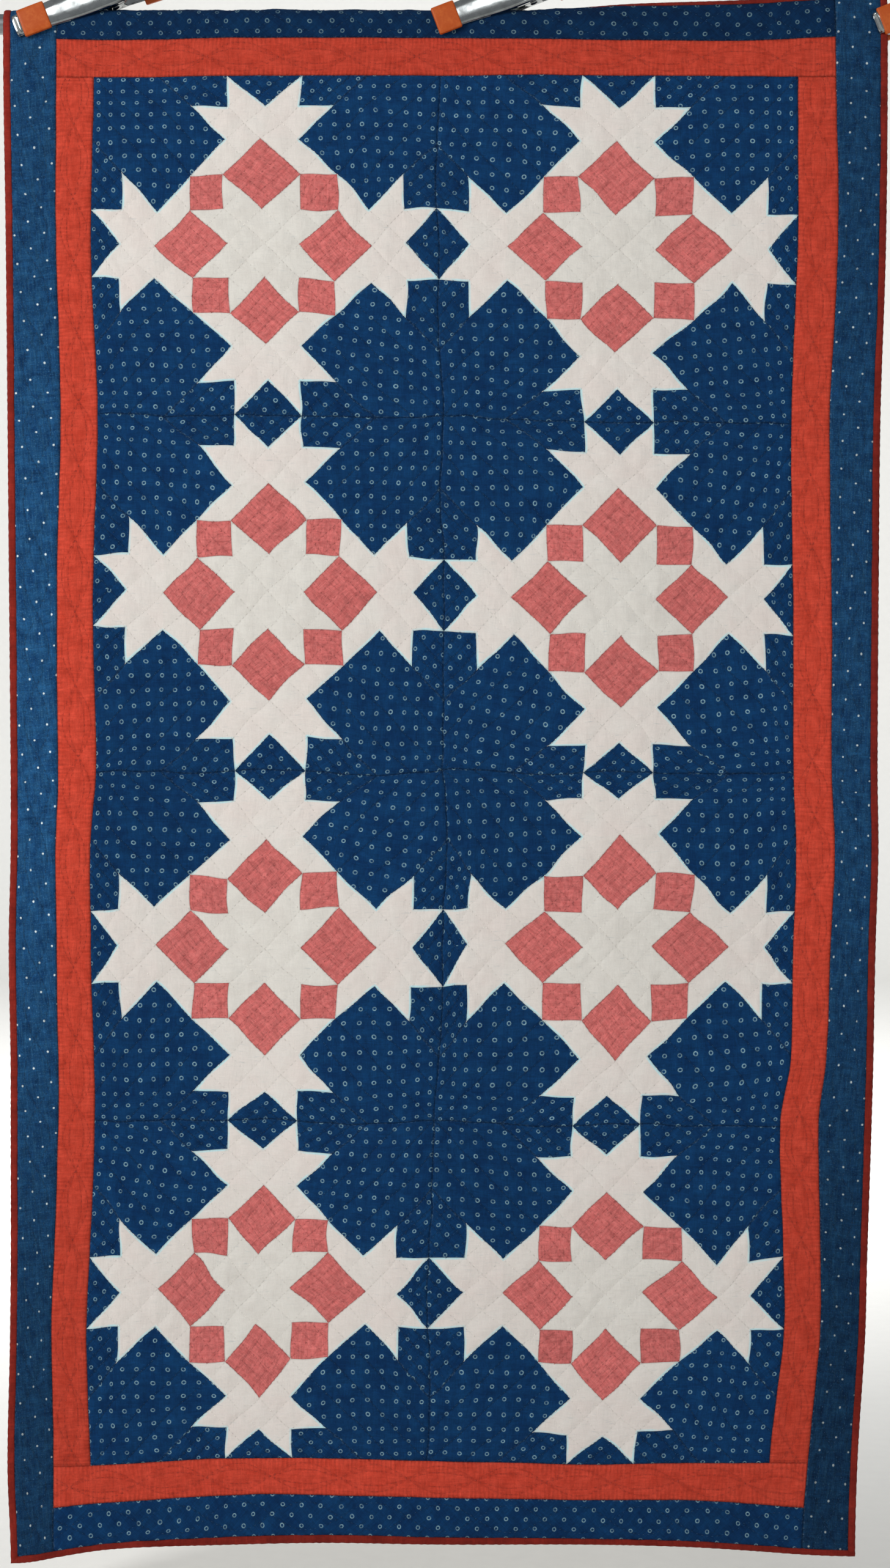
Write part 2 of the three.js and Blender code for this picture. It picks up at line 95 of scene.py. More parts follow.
# Where the level seams and the hem run: z at a few places x
LEVELS = {
    "x": [-475, -367, -219, -65, 182, 300, 460],
    "top_blue_red": [-19, -21, -19, -19, -21, -22, -17],
    "top_red_block": [-62, -62, -60, -60, -60, -61, -61],
    "block_row_2": [-429, -429, -430, -433, -438, -439, -439],
    "block_row_3": [-821, -821, -821, -821, -822, -822, -822],
    "block_row_4": [-1203, -1203, -1203, -1204, -1207, -1207, -1207],
    "bottom_block_red": [-1579, -1578, -1574, -1571, -1578, -1577, -1577],
    "bottom_red_blue": [-1627, -1619, -1614, -1611, -1617, -1618, -1627],
    "bottom_blue_binding": [-1676, -1665, -1660, -1655, -1660, -1663, -1672],
    "hem": [-1683, -1671, -1668, -1663, -1666, -1669, -1678],
}

# How far the seams at the stars' tips hang from the blocks' edges, since the turnings under each
# edge take up cloth: beside the upright edges at a few heights z, and beside the level edges at x
TIPS_ACROSS = {
    "z": [-247, -627, -1012, -1389],
    "left": [30.7, 35.8, 28.9, 34.2],
    "before_middle": [35.5, 35.1, 35.0, 36.1],
    "past_middle": [32.7, 35.3, 27.2, 38.4],
    "right": [33.0, 31.0, 33.0, 37.3],
}
TIPS_DOWN = {
    "x": [-190, 185],
    "above": [[35.6, 34.0], [37.8, 30.7], [32.0, 33.0], [33.1, 34.5]],
    "below": [[32.6, 33.9], [35.1, 34.2], [33.3, 29.1], [31.8, 35.2]],
}

# Slack of the hung quilt: height, length, shift along x and drift with z of its long waves, the
# curl of its lower corners, and the bulge on its right side
WAVES = [(6, 620, 120, 0), (3.5, 340, -40, 1 / 500)]
WAVE_TOP_Z = -31
WAVE_FULL_Z = -1111
CORNER_CURL = {"height": 9, "x": (330, 480), "z": (-1431, -1681)}
SIDE_BULGE = {"height": 7, "x": (250, 440), "z": -1204, "reach": 130}

# Spring clamps: x and z of each jaw's tip, the slant of all three, how far the steel shows past
# the tip, and where the vinyl tip begins and ends
CLAMPS = {"left": (-468, -5), "middle": (-9, -2), "right": (475, -1.5)}
CLAMP_SLANT = math.radians(21)
CLAMP_SHIFTS = {"left": (1.0, -2.0), "middle": (0.5, 0.0), "right": (1.0, -1.0)}
STEEL_TIPS = {"left": -3.0, "middle": 1.0, "right": -6.5}
VINYL_TIPS = {"left": (4.5, 35.5), "middle": (-2.3, 24.0), "right": (-0.5, 30.0)}
PIVOT_DEPTH = -2.9
PIVOT_ALONG = 108
GRIP_START = 132
ARM_END = 184
ARM_WIDTHS = {"along": [-8, 0, 30, 76, 118, 184], "half": [11.7, 11.7, 13, 16, 15.5, 12]}
ARM_DEPTHS = {"along": [-8, 0, 30, 96, 116, 184], "depth": [17.6, 17.6, 17.6, 18, 18, 38]}
ARM_RIMS = {"along": [-8, 34, 60, 96, 116, 129, 184], "rim": [0.6, 0.6, 2.2, 6.0, 6.0, 1.4, 1.2]}
EAR = {"from": 98.5, "to": 118, "thickness": 1.8, "outside": {"front": 15.5, "back": 13.4}}
STEEL = 1.7
# How much narrower the back arm grows between two places, and how much later its grip starts
BACK_SLIM = {"by": 2.2, "from": 60, "to": 110}
BACK_GRIP_LATER = 8.0
# The steel's nose, where it shows past the vinyl: how far it stands out, the length over which that
# fades, and its slope
NOSE = {"height": 1.7, "length": 14, "slope": 0.27}
PAD_HALF_WIDTH = 15.2
# Where a clamp presses the quilt flat: along it, past the sides of its jaw, and how that fades out
PRESSED = {"from": -8, "to": 40, "past": 2, "fade": 14}


# Numbers and shapes of the hung cloth


def smooth_line(positions, values):
    """A smooth line through a short list of positions and values, level past its ends."""
    x = np.array(positions, float)
    y = np.array(values, float)
    if x[0] > x[-1]:
        x, y = x[::-1], y[::-1]
    slope = np.zeros_like(y)
    slope[1:-1] = (y[2:] - y[:-2]) / (x[2:] - x[:-2])

    def at(place):
        place = np.clip(place, x[0], x[-1])
        i = np.clip(np.searchsorted(x, place) - 1, 0, len(x) - 2)
        step = x[i + 1] - x[i]
        t = (place - x[i]) / step
        return (
            (2 * t**3 - 3 * t**2 + 1) * y[i]
            + (t**3 - 2 * t**2 + t) * step * slope[i]
            + (3 * t**2 - 2 * t**3) * y[i + 1]
            + (t**3 - t**2) * step * slope[i + 1]
        )

    return at


def smooth_step(value, start, end):
    """From 0 at the start to 1 at the end, level past both."""
    t = np.clip((value - start) / (end - start), 0, 1)
    return t * t * (3 - 2 * t)


def ripples(seed, wavelength, count=14):
    """A smooth uneven field of about unit height with bumps about a wavelength apart."""
    rng = np.random.default_rng(seed)
    angles = rng.uniform(0, 2 * math.pi, count)
    rates = 2 * math.pi / (wavelength * rng.uniform(0.7, 1.5, count))
    phases = rng.uniform(0, 2 * math.pi, count)

    def at(u, v):
        total = np.zeros(np.broadcast(u, v).shape)
        for angle, rate, phase in zip(angles, rates, phases):
            total += np.sin(rate * (u * math.cos(angle) + v * math.sin(angle)) + phase)
        return total / math.sqrt(count / 2)

    return at


UPRIGHT_AT = {name: smooth_line(UPRIGHTS["z"], UPRIGHTS[name]) for name in UPRIGHTS if name != "z"}
LEVEL_AT = {name: smooth_line(LEVELS["x"], LEVELS[name]) for name in LEVELS if name != "x"}
BEND_SHARE_AT = smooth_line(BEND_SHARE["x"], BEND_SHARE["share"])


def beside(line, distances):
    """A seam line that runs at some distances beside another one."""
    return lambda at: line(at) + distances(at)


def tips_across(name, side):
    """The distances across from a block's edge to its tips' seam, toward one side."""
    return smooth_line(TIPS_ACROSS["z"], [side * distance for distance in TIPS_ACROSS[name]])


def tips_down(name, row, side):
    """The distances down or up from a block's edge to its tips' seam."""
    return smooth_line(TIPS_DOWN["x"], [side * distance for distance in TIPS_DOWN[name][row]])


ACROSS = [
    (0, UPRIGHT_AT["left_edge"]),
    (BINDING_WIDTH, lambda z: UPRIGHT_AT["left_edge"](z) + BINDING_WIDTH),
    (RED_LEFT, UPRIGHT_AT["left_blue_red"]),
    (BLOCKS_LEFT, UPRIGHT_AT["left_red_block"]),
    (BLOCKS_LEFT + UNIT, beside(UPRIGHT_AT["left_red_block"], tips_across("left", 1))),
    (BLOCKS_LEFT + BLOCK - UNIT, beside(UPRIGHT_AT["middle"], tips_across("before_middle", -1))),
    (BLOCKS_LEFT + BLOCK, UPRIGHT_AT["middle"]),
    (BLOCKS_LEFT + BLOCK + UNIT, beside(UPRIGHT_AT["middle"], tips_across("past_middle", 1))),
    (BLOCKS_RIGHT - UNIT, beside(UPRIGHT_AT["right_block_red"], tips_across("right", -1))),
    (BLOCKS_RIGHT, UPRIGHT_AT["right_block_red"]),
    (RED_RIGHT, UPRIGHT_AT["right_red_blue"]),
    (INNER_RIGHT, lambda z: UPRIGHT_AT["right_edge"](z) - BINDING_WIDTH),
    (CUT_WIDTH, UPRIGHT_AT["right_edge"]),
]
ROW_EDGES = ["top_red_block", "block_row_2", "block_row_3", "block_row_4", "bottom_block_red"]
DOWN = [(RED_TOP, LEVEL_AT["top_blue_red"])]
for row, (top_edge, bottom_edge) in enumerate(zip(ROW_EDGES, ROW_EDGES[1:])):
    row_top = BLOCKS_TOP + row * BLOCK
    DOWN += [
        (row_top, LEVEL_AT[top_edge]),
        (row_top + UNIT, beside(LEVEL_AT[top_edge], tips_down("below", row, -1))),
        (row_top + BLOCK - UNIT, beside(LEVEL_AT[bottom_edge], tips_down("above", row, 1))),
    ]
DOWN += [
    (BLOCKS_BOTTOM, LEVEL_AT["bottom_block_red"]),
    (RED_BOTTOM, LEVEL_AT["bottom_red_blue"]),
    (INNER_BOTTOM, LEVEL_AT["bottom_blue_binding"]),
    (CUT_LENGTH, LEVEL_AT["hem"]),
]


def between_lines(lines, place, at):
    """The value between the two seam lines that a cut place lies between."""
    value = np.zeros_like(at)
    for i, ((start, first), (end, second)) in enumerate(zip(lines, lines[1:])):
        here = np.ones(place.shape, bool)
        if i > 0:
            here &= place > start
        if i < len(lines) - 2:
            here &= place <= end
        share = (place[here] - start) / (end - start)
        value[here] = (1 - share) * first(at[here]) + share * second(at[here])
    return value


def slack(x, z):
    """How far the slack brings the quilt forward of its hanging plane."""
    forward = sum(
        height * np.sin(2 * math.pi * (x + shift) / length + z * drift)
        for height, length, shift, drift in WAVES
    )
    curl = smooth_step(np.abs(x), *CORNER_CURL["x"]) * smooth_step(-z, *(-e for e in CORNER_CURL["z"]))
    bulge = smooth_step(x, *SIDE_BULGE["x"])
    bulge = bulge * np.exp(-(((z - SIDE_BULGE["z"]) / SIDE_BULGE["reach"]) ** 2))
    grown = smooth_step(-z, -WAVE_TOP_Z, -WAVE_FULL_Z)
    return grown * forward + CORNER_CURL["height"] * curl + SIDE_BULGE["height"] * bulge


# Uneven sewing: how far places wander across and down, less near the quilt's edge and the borders
WOBBLE_U = (ripples(11, 150), ripples(12, 45))
WOBBLE_V = (ripples(13, 150), ripples(14, 45))
WOBBLE_HEIGHTS = (1.5, 0.55)
WOBBLE_REACH = {"edge": 30, "straight": 45}
WOBBLE_LEFT = 0.2
STRAIGHT_UPRIGHTS = (0, RED_LEFT, BLOCKS_LEFT, BLOCKS_RIGHT, RED_RIGHT, CUT_WIDTH)
STRAIGHT_LEVELS = (0, RED_TOP, BLOCKS_TOP, BLOCKS_BOTTOM, RED_BOTTOM, CUT_LENGTH)


def hung_point(u, v):
    """Where a place of the cut quilt hangs, in its middle layer. The sewing is a little uneven."""
    u = np.asarray(u, float)
    v = np.asarray(v, float)
    level = between_lines(DOWN, np.maximum(v, RED_TOP), u - CUT_WIDTH / 2)
    x = between_lines(ACROSS, u, level)
    forward = -BEND_RADIUS - slack(x, level)
    up = np.maximum(RED_TOP - v, 0)
    bent = np.maximum(up - (BEND_CENTRE_Z - level), 0)
    radius = BEND_RADIUS / BEND_SHARE_AT(x)
    turn = bent / radius
    over = v < RED_TOP
    y = np.where(over, -BEND_RADIUS + radius * (1 - np.cos(turn)), forward)
    z = np.where(bent > 0, BEND_CENTRE_Z + radius * np.sin(turn), level + up)
    return np.stack([x, y, z], axis=-1)


def face_direction(u, v):
    """The direction in which the quilt's face looks at a place of the cut quilt."""
    reach = 1.0
    across = hung_point(np.minimum(u + reach, CUT_WIDTH), v) - hung_point(np.maximum(u - reach, 0), v)
    down = hung_point(u, np.minimum(v + reach, CUT_LENGTH)) - hung_point(u, np.maximum(v - reach, 0))
    direction = np.cross(down, across)
    return direction / np.linalg.norm(direction, axis=-1, keepdims=True)


def laid_out(u, v, offset):
    """Points of the hung quilt at an offset in front of its middle layer, in metres."""
    inside = np.minimum(np.minimum(u, CUT_WIDTH - u), np.minimum(v, CUT_LENGTH - v))
    hold = smooth_step(inside, 0, WOBBLE_REACH["edge"])
    places = []
    for place, lines, fields in ((u, STRAIGHT_UPRIGHTS, WOBBLE_U), (v, STRAIGHT_LEVELS, WOBBLE_V)):
        away = np.min([np.abs(place - line) for line in lines], axis=0)
        free = WOBBLE_LEFT + (1 - WOBBLE_LEFT) * smooth_step(away, 0, WOBBLE_REACH["straight"])
        wander = sum(height * field(u, v) for height, field in zip(WOBBLE_HEIGHTS, fields))
        places.append(place + hold * free * wander)
    return (hung_point(*places) + face_direction(*places) * offset[..., None]) * MM


# The patchwork, drafted on a grid of ten units with its origin at the block's middle. Folding the
# block along its four lines of symmetry leaves q and p, with q at most p.

WHITE, PINK, CORNER, WEDGE = range(4)
SEAMS = [
    ((0, 4), (1, 5)), ((1, 5), (1, 4)), ((1, 4), (2, 4)), ((2, 4), (1, 3)), ((1, 3), (2, 2)),
    ((2, 4), (3, 5)), ((0, 1), (1, 2)), ((1, 2), (0, 3)), ((1, 1), (1, 2)), ((1, 2), (2, 2)),
    ((0, 5), (5, 5)),
]
DYED_SEAMS = SEAMS[:5]
# Squares of the block where the slanting seam runs the other way
BACKWARD_CELLS = {(1, 2), (2, 1), (0, 2), (2, 0)}
# Distances that stand for no line and no seam anywhere near
FAR_LINE = 99.0
UNSEAMED = 20.0


def folded(x, y):
    """A place of the block folded along its lines of symmetry."""
    a, b = np.abs(x), np.abs(y)
    return np.minimum(a, b), np.maximum(a, b)


def patch_kind(x, y):
    """Which cotton lies at a place of the block."""
    q, p = folded(x, y)
    kind = np.full(q.shape, CORNER)
    kind[(p >= 4) & (q <= p - 2)] = WEDGE
    white = ((p <= 3) & (p + q <= 4)) | ((p > 3) & (p <= 4) & (q <= p - 2))
    white |= (p > 4) & (q >= p - 4) & (q <= 1)
    kind[white] = WHITE
    pink = (q + np.abs(p - 2) <= 1) | ((q >= 1) & (p <= 2))
    kind[pink] = PINK
    return kind


def segment_distance(q, p, segments):
    """Distance to the nearest of some straight seams, in the units of the coordinates."""
    nearest = np.full(q.shape, FAR_LINE)
    for (q0, p0), (q1, p1) in segments:
        run_q, run_p = q1 - q0, p1 - p0
        share = ((q - q0) * run_q + (p - p0) * run_p) / (run_q**2 + run_p**2)
        share = np.clip(share, 0, 1)
        nearest = np.minimum(nearest, np.hypot(q - q0 - share * run_q, p - p0 - share * run_p))
    return nearest


def block_place(u, v):
    """Coordinates in units from the middle of the block that a cut place lies in."""
    place = []
    for cut, start, end in ((u, BLOCKS_LEFT, BLOCKS_RIGHT), (v, BLOCKS_TOP, BLOCKS_BOTTOM)):
        inside = np.clip(cut - start, 0, end - start - 1e-6)
        place.append(np.mod(inside, BLOCK) / UNIT - UNITS / 2)
    return place


# Lines of hand quilting: the distance from any place to the nearest line

CABLE_HALF_LENGTH = 76.0
CABLE_SPREADS = (15.0, 8.0)
# For the red and the blue border: the middle of a side strip and of an end strip, and its strands
CABLE_STRIPS = [
    ((RED_LEFT + BLOCKS_LEFT) / 2, (RED_TOP + BLOCKS_TOP) / 2, CABLE_SPREADS),
    ((BINDING_WIDTH + RED_LEFT) / 2, (BINDING_WIDTH + RED_TOP) / 2, CABLE_SPREADS[:1]),
]


def cable_lines(along, across, spreads):
    """Strands that cross each other down the middle of a strip, as a quilted cable does."""
    nearest = np.full(along.shape, FAR_LINE)
    for spread in spreads:
        for side in (-1, 1):
            turn = math.pi * along / CABLE_HALF_LENGTH
            slope = spread * math.pi / CABLE_HALF_LENGTH * np.cos(turn)
            gap = np.abs(across - side * spread * np.sin(turn)) / np.sqrt(1 + slope**2)
            nearest = np.minimum(nearest, gap)
    return nearest


def slanted_lines(x, y, spacing):
    """Distance to parallel lines where x - y is a multiple of the spacing."""
    across = (x - y) / spacing
    return np.abs(across - np.round(across)) * spacing / math.sqrt(2)


def quilting(u, v):
    """Distance to the nearest line of quilting, in millimetres."""
    x, y = block_place(u, v)
    kind = patch_kind(x, y)
    spacing = np.where((kind == PINK) | (kind == WEDGE), 0.5, 1.0)
    falling = slanted_lines(x, y, spacing)
    rising = slanted_lines(x, -y, spacing)
    corner = kind == CORNER
    rising = np.where(corner & (x * y > 0), FAR_LINE, rising)
    falling = np.where(corner & (x * y <= 0), FAR_LINE, falling)
    distance = np.minimum(falling, rising) * UNIT

    side = np.minimum(u, CUT_WIDTH - u)
    end = np.minimum(v, CUT_LENGTH - v)
    red_side = (side >= RED_LEFT) & (side < BLOCKS_LEFT) & (end >= BLOCKS_TOP)
    red_end = (end >= RED_TOP) & (end < BLOCKS_TOP) & (side >= RED_LEFT)
    blue_side = side < RED_LEFT
    blue_end = (end < RED_TOP) & (side >= RED_LEFT)
    strips = zip(CABLE_STRIPS, (red_side, blue_side), (red_end, blue_end))
    for (across, down, spreads), in_side, in_end in strips:
        for where, length, off in ((in_side, v, side - across), (in_end, u, end - down)):
            distance = np.where(where, cable_lines(length, off, spreads), distance)
    return distance


# Relief of the face: padding that stands up between lines of stitches and beside seams

# In millimetres: the quilt's thickness, how far from its lines and seams the padding is held down,
# how far the face drops at a piece's edge, and its uneven lumps and their heights
QUILT_THICKNESS = 3.4
PANEL_BACK = -0.3
PUFF_REACH = 5.0
SEAM_REACH = 3.5
EDGE_DROP = 0.9
LUMPS = [(ripples(21, 70), 0.35), (ripples(22, 26), 0.22), (ripples(23, 12), 0.1)]
LUMPS_IN_FURROWS = 0.35
PUCKER = {"length": 9.0, "height": 0.28, "uneven": 1.5, "reach": 9.0}
EDGE_REACH = 1.3


def pressed(u, v):
    """From 0 under a clamp's jaw to 1 away from it."""
    free = np.ones(np.broadcast(u, v).shape)
    place = hung_point(u, v)
    slant = np.array([math.cos(CLAMP_SLANT), math.sin(CLAMP_SLANT)])
    for x, z in CLAMPS.values():
        dx, dz = place[..., 0] - x, place[..., 2] - z
        along = dx * slant[0] + dz * slant[1]
        across = -dx * slant[1] + dz * slant[0]
        past_end = np.maximum(PRESSED["from"] - along, along - PRESSED["to"])
        outside = np.maximum(past_end, np.abs(across) - PAD_HALF_WIDTH - PRESSED["past"])
        free = np.minimum(free, smooth_step(outside, 0, PRESSED["fade"]))
    return free


def face_height(u, v, edge_distance, seam_distance):
    """Height of the face over the middle layer, in millimetres."""
    line_distance = quilting(u, v)
    puff = (1 - np.exp(-line_distance / PUFF_REACH)) * (1 - np.exp(-seam_distance / SEAM_REACH))
    lumps = sum(height * field(u, v) for field, height in LUMPS)
    turn = 2 * math.pi * (u + v) / PUCKER["length"] + PUCKER["uneven"] * LUMPS[1][0](u, v)
    pucker = PUCKER["height"] * np.sin(turn) * np.exp(-edge_distance / PUCKER["reach"])
    lumps = lumps * (LUMPS_IN_FURROWS + (1 - LUMPS_IN_FURROWS) * puff)
    rise = bpy.context.scene.star_quilt.puff / MM * puff + lumps + pucker
    drop = EDGE_DROP * np.exp(-edge_distance / EDGE_REACH)
    return QUILT_THICKNESS / 2 + rise * pressed(u, v) - drop


# Meshes


def mesh_object(name, points, triangles, materials, face_material=None):
    """A smooth mesh object from arrays of points and triangles."""
    mesh = bpy.data.meshes.new(name)
    mesh.vertices.add(len(points))
    mesh.vertices.foreach_set("co", np.asarray(points, np.float32).ravel())
    mesh.loops.add(3 * len(triangles))
    mesh.loops.foreach_set("vertex_index", np.asarray(triangles, np.int32).ravel())
    mesh.polygons.add(len(triangles))
    mesh.polygons.foreach_set("loop_start", np.arange(0, 3 * len(triangles), 3, dtype=np.int32))
    mesh.polygons.foreach_set("use_smooth", np.ones(len(triangles), bool))
    if face_material is not None:
        mesh.polygons.foreach_set("material_index", np.asarray(face_material, np.int32))
    mesh.update(calc_edges=True)
    for material in materials:
        mesh.materials.append(material)
    made = bpy.data.objects.new(name, mesh)
    bpy.context.scene.collection.objects.link(made)
    return made


def add_uv(mesh, name, corners):
    """A UV map from one pair of numbers for each corner of each face."""
    layer = mesh.uv_layers.new(name=name)
    layer.uv.foreach_set("vector", np.asarray(corners, np.float32).ravel())


def add_numbers(mesh, name, values, domain="POINT"):
    """Numbers that a mesh's points or faces carry. A single number is given to all points."""
    values = np.broadcast_to(values, len(mesh.vertices)) if np.isscalar(values) else values
    attribute = mesh.attributes.new(name=name, type="FLOAT", domain=domain)
    attribute.data.foreach_set("value", np.asarray(values, np.float32))


# The face's grid in millimetres, and how many of its squares one square of the hidden back spans
FINE_STEP = UNIT / 14
COARSE = 4
# Where along its length a strip's three steps of painted light and shade lie
PAINTED_LIGHT_AT = (0.08, 0.5, 0.92)
# Each patch is cut with its weave a little turned and its print shifted. A star's arms are warmer
# than its middle.
PATCH_TURN = 0.13
PRINT_SHIFT = 60
PATCH_NUMBERS = 64
ARM_TONES = {"tip": 1.0, "root": 0.7}


def fine_lines(start, end):
    """Places of the fine grid's lines over a stretch of cut cloth."""
    count = max(COARSE, COARSE * round((end - start) / FINE_STEP / COARSE))
    return np.linspace(start, end, count + 1)


def split(a, b, c, d):
    """Two triangles for each square, from arrays of its corners in turn."""
    return np.concatenate([np.stack([a, b, c], -1).reshape(-1, 3), np.stack([a, c, d], -1).reshape(-1, 3)])


def corners(grid):
    """The four corners of each square of a grid of point numbers."""
    return grid[:-1, :-1], grid[1:, :-1], grid[1:, 1:], grid[:-1, 1:]


def rims(grid):
    """The grid's four edges, one after another."""
    return grid[:, 0], grid[-1, :], grid[::-1, -1], grid[0, ::-1]


def tube(count, ring):
    """Numbers of the points of some rings of points, and triangles that join the rings."""
    grid = np.arange(count * ring).reshape(count, ring)
    beside = np.roll(grid, -1, 1)
    return grid, split(grid[:-1], beside[:-1], beside[1:], grid[1:])


def panel_faces(rows, columns, backward):
    """Triangles of a closed panel: a fine face, then a coarse back and the edge between them. The
    backward array says which squares of the face are cut from top right to bottom left."""
    face = np.arange((rows + 1) * (columns + 1)).reshape(rows + 1, columns + 1)
    a, b, c, d = corners(face)
    first = np.where(backward[..., None], np.stack([a, b, d], -1), np.stack([a, b, c], -1))
    second = np.where(backward[..., None], np.stack([b, c, d], -1), np.stack([a, c, d], -1))
    front = np.stack([first, second], axis=2).reshape(-1, 3)
    back_rows, back_columns = rows // COARSE, columns // COARSE
    back = face.size + np.arange((back_rows + 1) * (back_columns + 1)).reshape(back_rows + 1, -1)
    behind = split(*(part.transpose() for part in corners(back.transpose())))
    edge = []
    middle = COARSE // 2
    for fine, coarse in zip(rims(face), rims(back)):
        for k in range(len(coarse) - 1):
            stretch = fine[k * COARSE : (k + 1) * COARSE + 1]
            for i in range(COARSE):
                edge.append((stretch[i], coarse[k] if i < middle else coarse[k + 1], stretch[i + 1]))
            edge.append((stretch[middle], coarse[k], coarse[k + 1]))
    return front, np.concatenate([behind, np.array(edge)])


def panel_points(u, v, face, back):
    """Points of a closed panel: its face on a grid at some heights, then its back on a coarse grid
    at one height. Their places on the cut quilt come with them."""
    back_u, back_v = u[::COARSE, ::COARSE], v[::COARSE, ::COARSE]
    behind = laid_out(back_u, back_v, np.full(back_u.shape, back))
    points = np.concatenate([laid_out(u, v, face).reshape(-1, 3), behind.reshape(-1, 3)])
    places = [np.concatenate([fine.ravel(), coarse.ravel()]) for fine, coarse in ((u, back_u), (v, back_v))]
    return points, np.stack(places, -1)


def cloth_panel(name, place, materials, patches=None, grain=0.0, painted_light_along=(0, 0, 0)):
    """A closed panel of the quilt's face. place is its left, right, top and bottom as cut. patches
    gives each face triangle's cotton, the turn of its weave and a shift of its print. A plain
    strip has one turn, and painted light and shade that change along its length."""
    left, right, top, bottom = place
    us, vs = fine_lines(left, right), fine_lines(top, bottom)
    u, v = np.meshgrid(us, vs)
    edge = np.minimum(np.minimum(u - left, right - u), np.minimum(v - top, bottom - v))
    x, y = block_place(u.clip(left + 1e-4, right - 1e-4), v.clip(top + 1e-4, bottom - 1e-4))
    rows, columns = len(vs) - 1, len(us) - 1
    backward = np.zeros((rows, columns), bool)
    if patches:
        q, p = folded(x, y)
        seam = segment_distance(q, p, SEAMS) * UNIT
        dye = segment_distance(q, p, DYED_SEAMS) * UNIT
        middle_x = (x[:-1, :-1] + x[1:, 1:]) / 2
        middle_y = (y[:-1, :-1] + y[1:, 1:]) / 2
        cell_a, cell_b = np.floor(np.abs(middle_x)), np.floor(np.abs(middle_y))
        for a, b in BACKWARD_CELLS:
            backward |= (cell_a == a) & (cell_b == b)
        backward ^= middle_x * middle_y < 0
    else:
        seam = dye = edge
    points, places = panel_points(u, v, face_height(u, v, edge, seam), PANEL_BACK)
    front, hidden = panel_faces(rows, columns, backward)
    triangles = np.concatenate([front, hidden])
    cut = places[triangles]
    cloth = cut.copy()
    kinds = np.zeros(len(triangles), int)
    turned = np.full(len(triangles), grain)
    if patches:
        tones = np.zeros(len(triangles))
        shown = slice(len(front))
        centre = cut[shown].mean(axis=1)
        kinds[shown], turned[shown], tones[shown], shift = patches(centre[:, 0], centre[:, 1])
        cloth[shown] += shift[:, None, :]
    else:
        # A plain strip's tone is painted light and shade that changes along its length.
        axis, length = (0, CUT_WIDTH) if right - left > bottom - top else (1, CUT_LENGTH)
        tones = smooth_line(PAINTED_LIGHT_AT, painted_light_along)(cut[..., axis].mean(axis=1) / length)
    cos, sin = np.cos(turned)[:, None], np.sin(turned)[:, None]
    across, down = cloth[..., 0], cloth[..., 1]
    made = mesh_object(name, points, triangles, materials, kinds)
    add_uv(made.data, "cloth", np.stack([across * cos - down * sin, across * sin + down * cos], -1))
    add_numbers(made.data, "stitches", quilting(*places.T))
    backs = np.full(len(points) - u.size, UNSEAMED)
    add_numbers(made.data, "seam", np.concatenate([seam.ravel(), backs]))
    add_numbers(made.data, "dye", np.concatenate([dye.ravel(), backs]))
    add_numbers(made.data, "tone", tones, "FACE")
    return made


def block_patches(seed):
    """For one block: the cotton, weave turn, tone and print shift of each place of the face."""
    rng = np.random.default_rng(seed)
    turns = rng.uniform(-PATCH_TURN, PATCH_TURN, PATCH_NUMBERS)
    tones = rng.uniform(-1, 1, PATCH_NUMBERS)
    shifts = rng.uniform(0, PRINT_SHIFT, (PATCH_NUMBERS, 2))

    def at(u, v):
        x, y = block_place(u, v)
        q, p = folded(x, y)
        kind = patch_kind(x, y)
        white, pink = kind == WHITE, kind == PINK
        square = pink & (q >= 1) & (p <= 2)
        diamond = pink & ~square
        edge_triangle = (kind == WEDGE) & (q <= p - 4)
        # A patch's number comes from its kind and from the part of the block that it lies in.
        sector = (x > 0) * 1 + (y > 0) * 2 + (np.abs(x) > np.abs(y)) * 4
        number = sector + 8 * kind
        number = np.where(edge_triangle | diamond, 32 + (sector >> 1) * 2 + 8 * pink, number)
        number = np.where((kind == CORNER) | square, 48 + (sector & 3) + 8 * pink, number)
        number = np.where(white, PATCH_NUMBERS - 1, number) % PATCH_NUMBERS
        root = (q > 1) | (p > 2)
        arm = np.where(p > 3, ARM_TONES["tip"], np.where(root, ARM_TONES["root"], 0.0))
        tone = np.where(white, arm, tones[number])
        turn = turns[number] + math.pi / 4 * ((kind == WEDGE) | diamond)
        return np.where(kind == WEDGE, CORNER, kind), np.where(white, 0, turn), tone, shifts[number]

    return at


# Materials


def linear(hex_colour):
    """An sRGB hex colour as linear red, green, blue and alpha."""
    channels = [int(hex_colour[i : i + 2], 16) / 255 for i in (1, 3, 5)]
    return [c / 12.92 if c <= 0.04045 else ((c + 0.055) / 1.055) ** 2.4 for c in channels] + [1.0]


def add_node(tree, kind, inputs=None, **settings):
    """Add a node with its settings: a shader node, unless its kind is given in full. An input is a
    value, a socket or a node, which stands for its first output."""
    made = tree.nodes.new(kind if "Node" in kind else f"ShaderNode{kind}")
    for name, value in settings.items():
        setattr(made, name, value)
    for key, value in (inputs or {}).items():
        if isinstance(value, bpy.types.Node):
            value = value.outputs[0]
        if isinstance(value, bpy.types.NodeSocket):
            tree.links.new(value, made.inputs[key])
        else:
            made.inputs[key].default_value = value
    return made


def noise(tree, place, scale=1.0, detail=2.0, **more):
    """A noise texture. more are its other inputs, such as Roughness."""
    return add_node(tree, "TexNoise", {"Vector": place, "Scale": scale, "Detail": detail, **more})


def stretched(tree, place, scale, **more):
    """A place stretched for a texture. more are other inputs, such as Rotation."""
    return add_node(tree, "Mapping", {"Vector": place, "Scale": scale, **more})


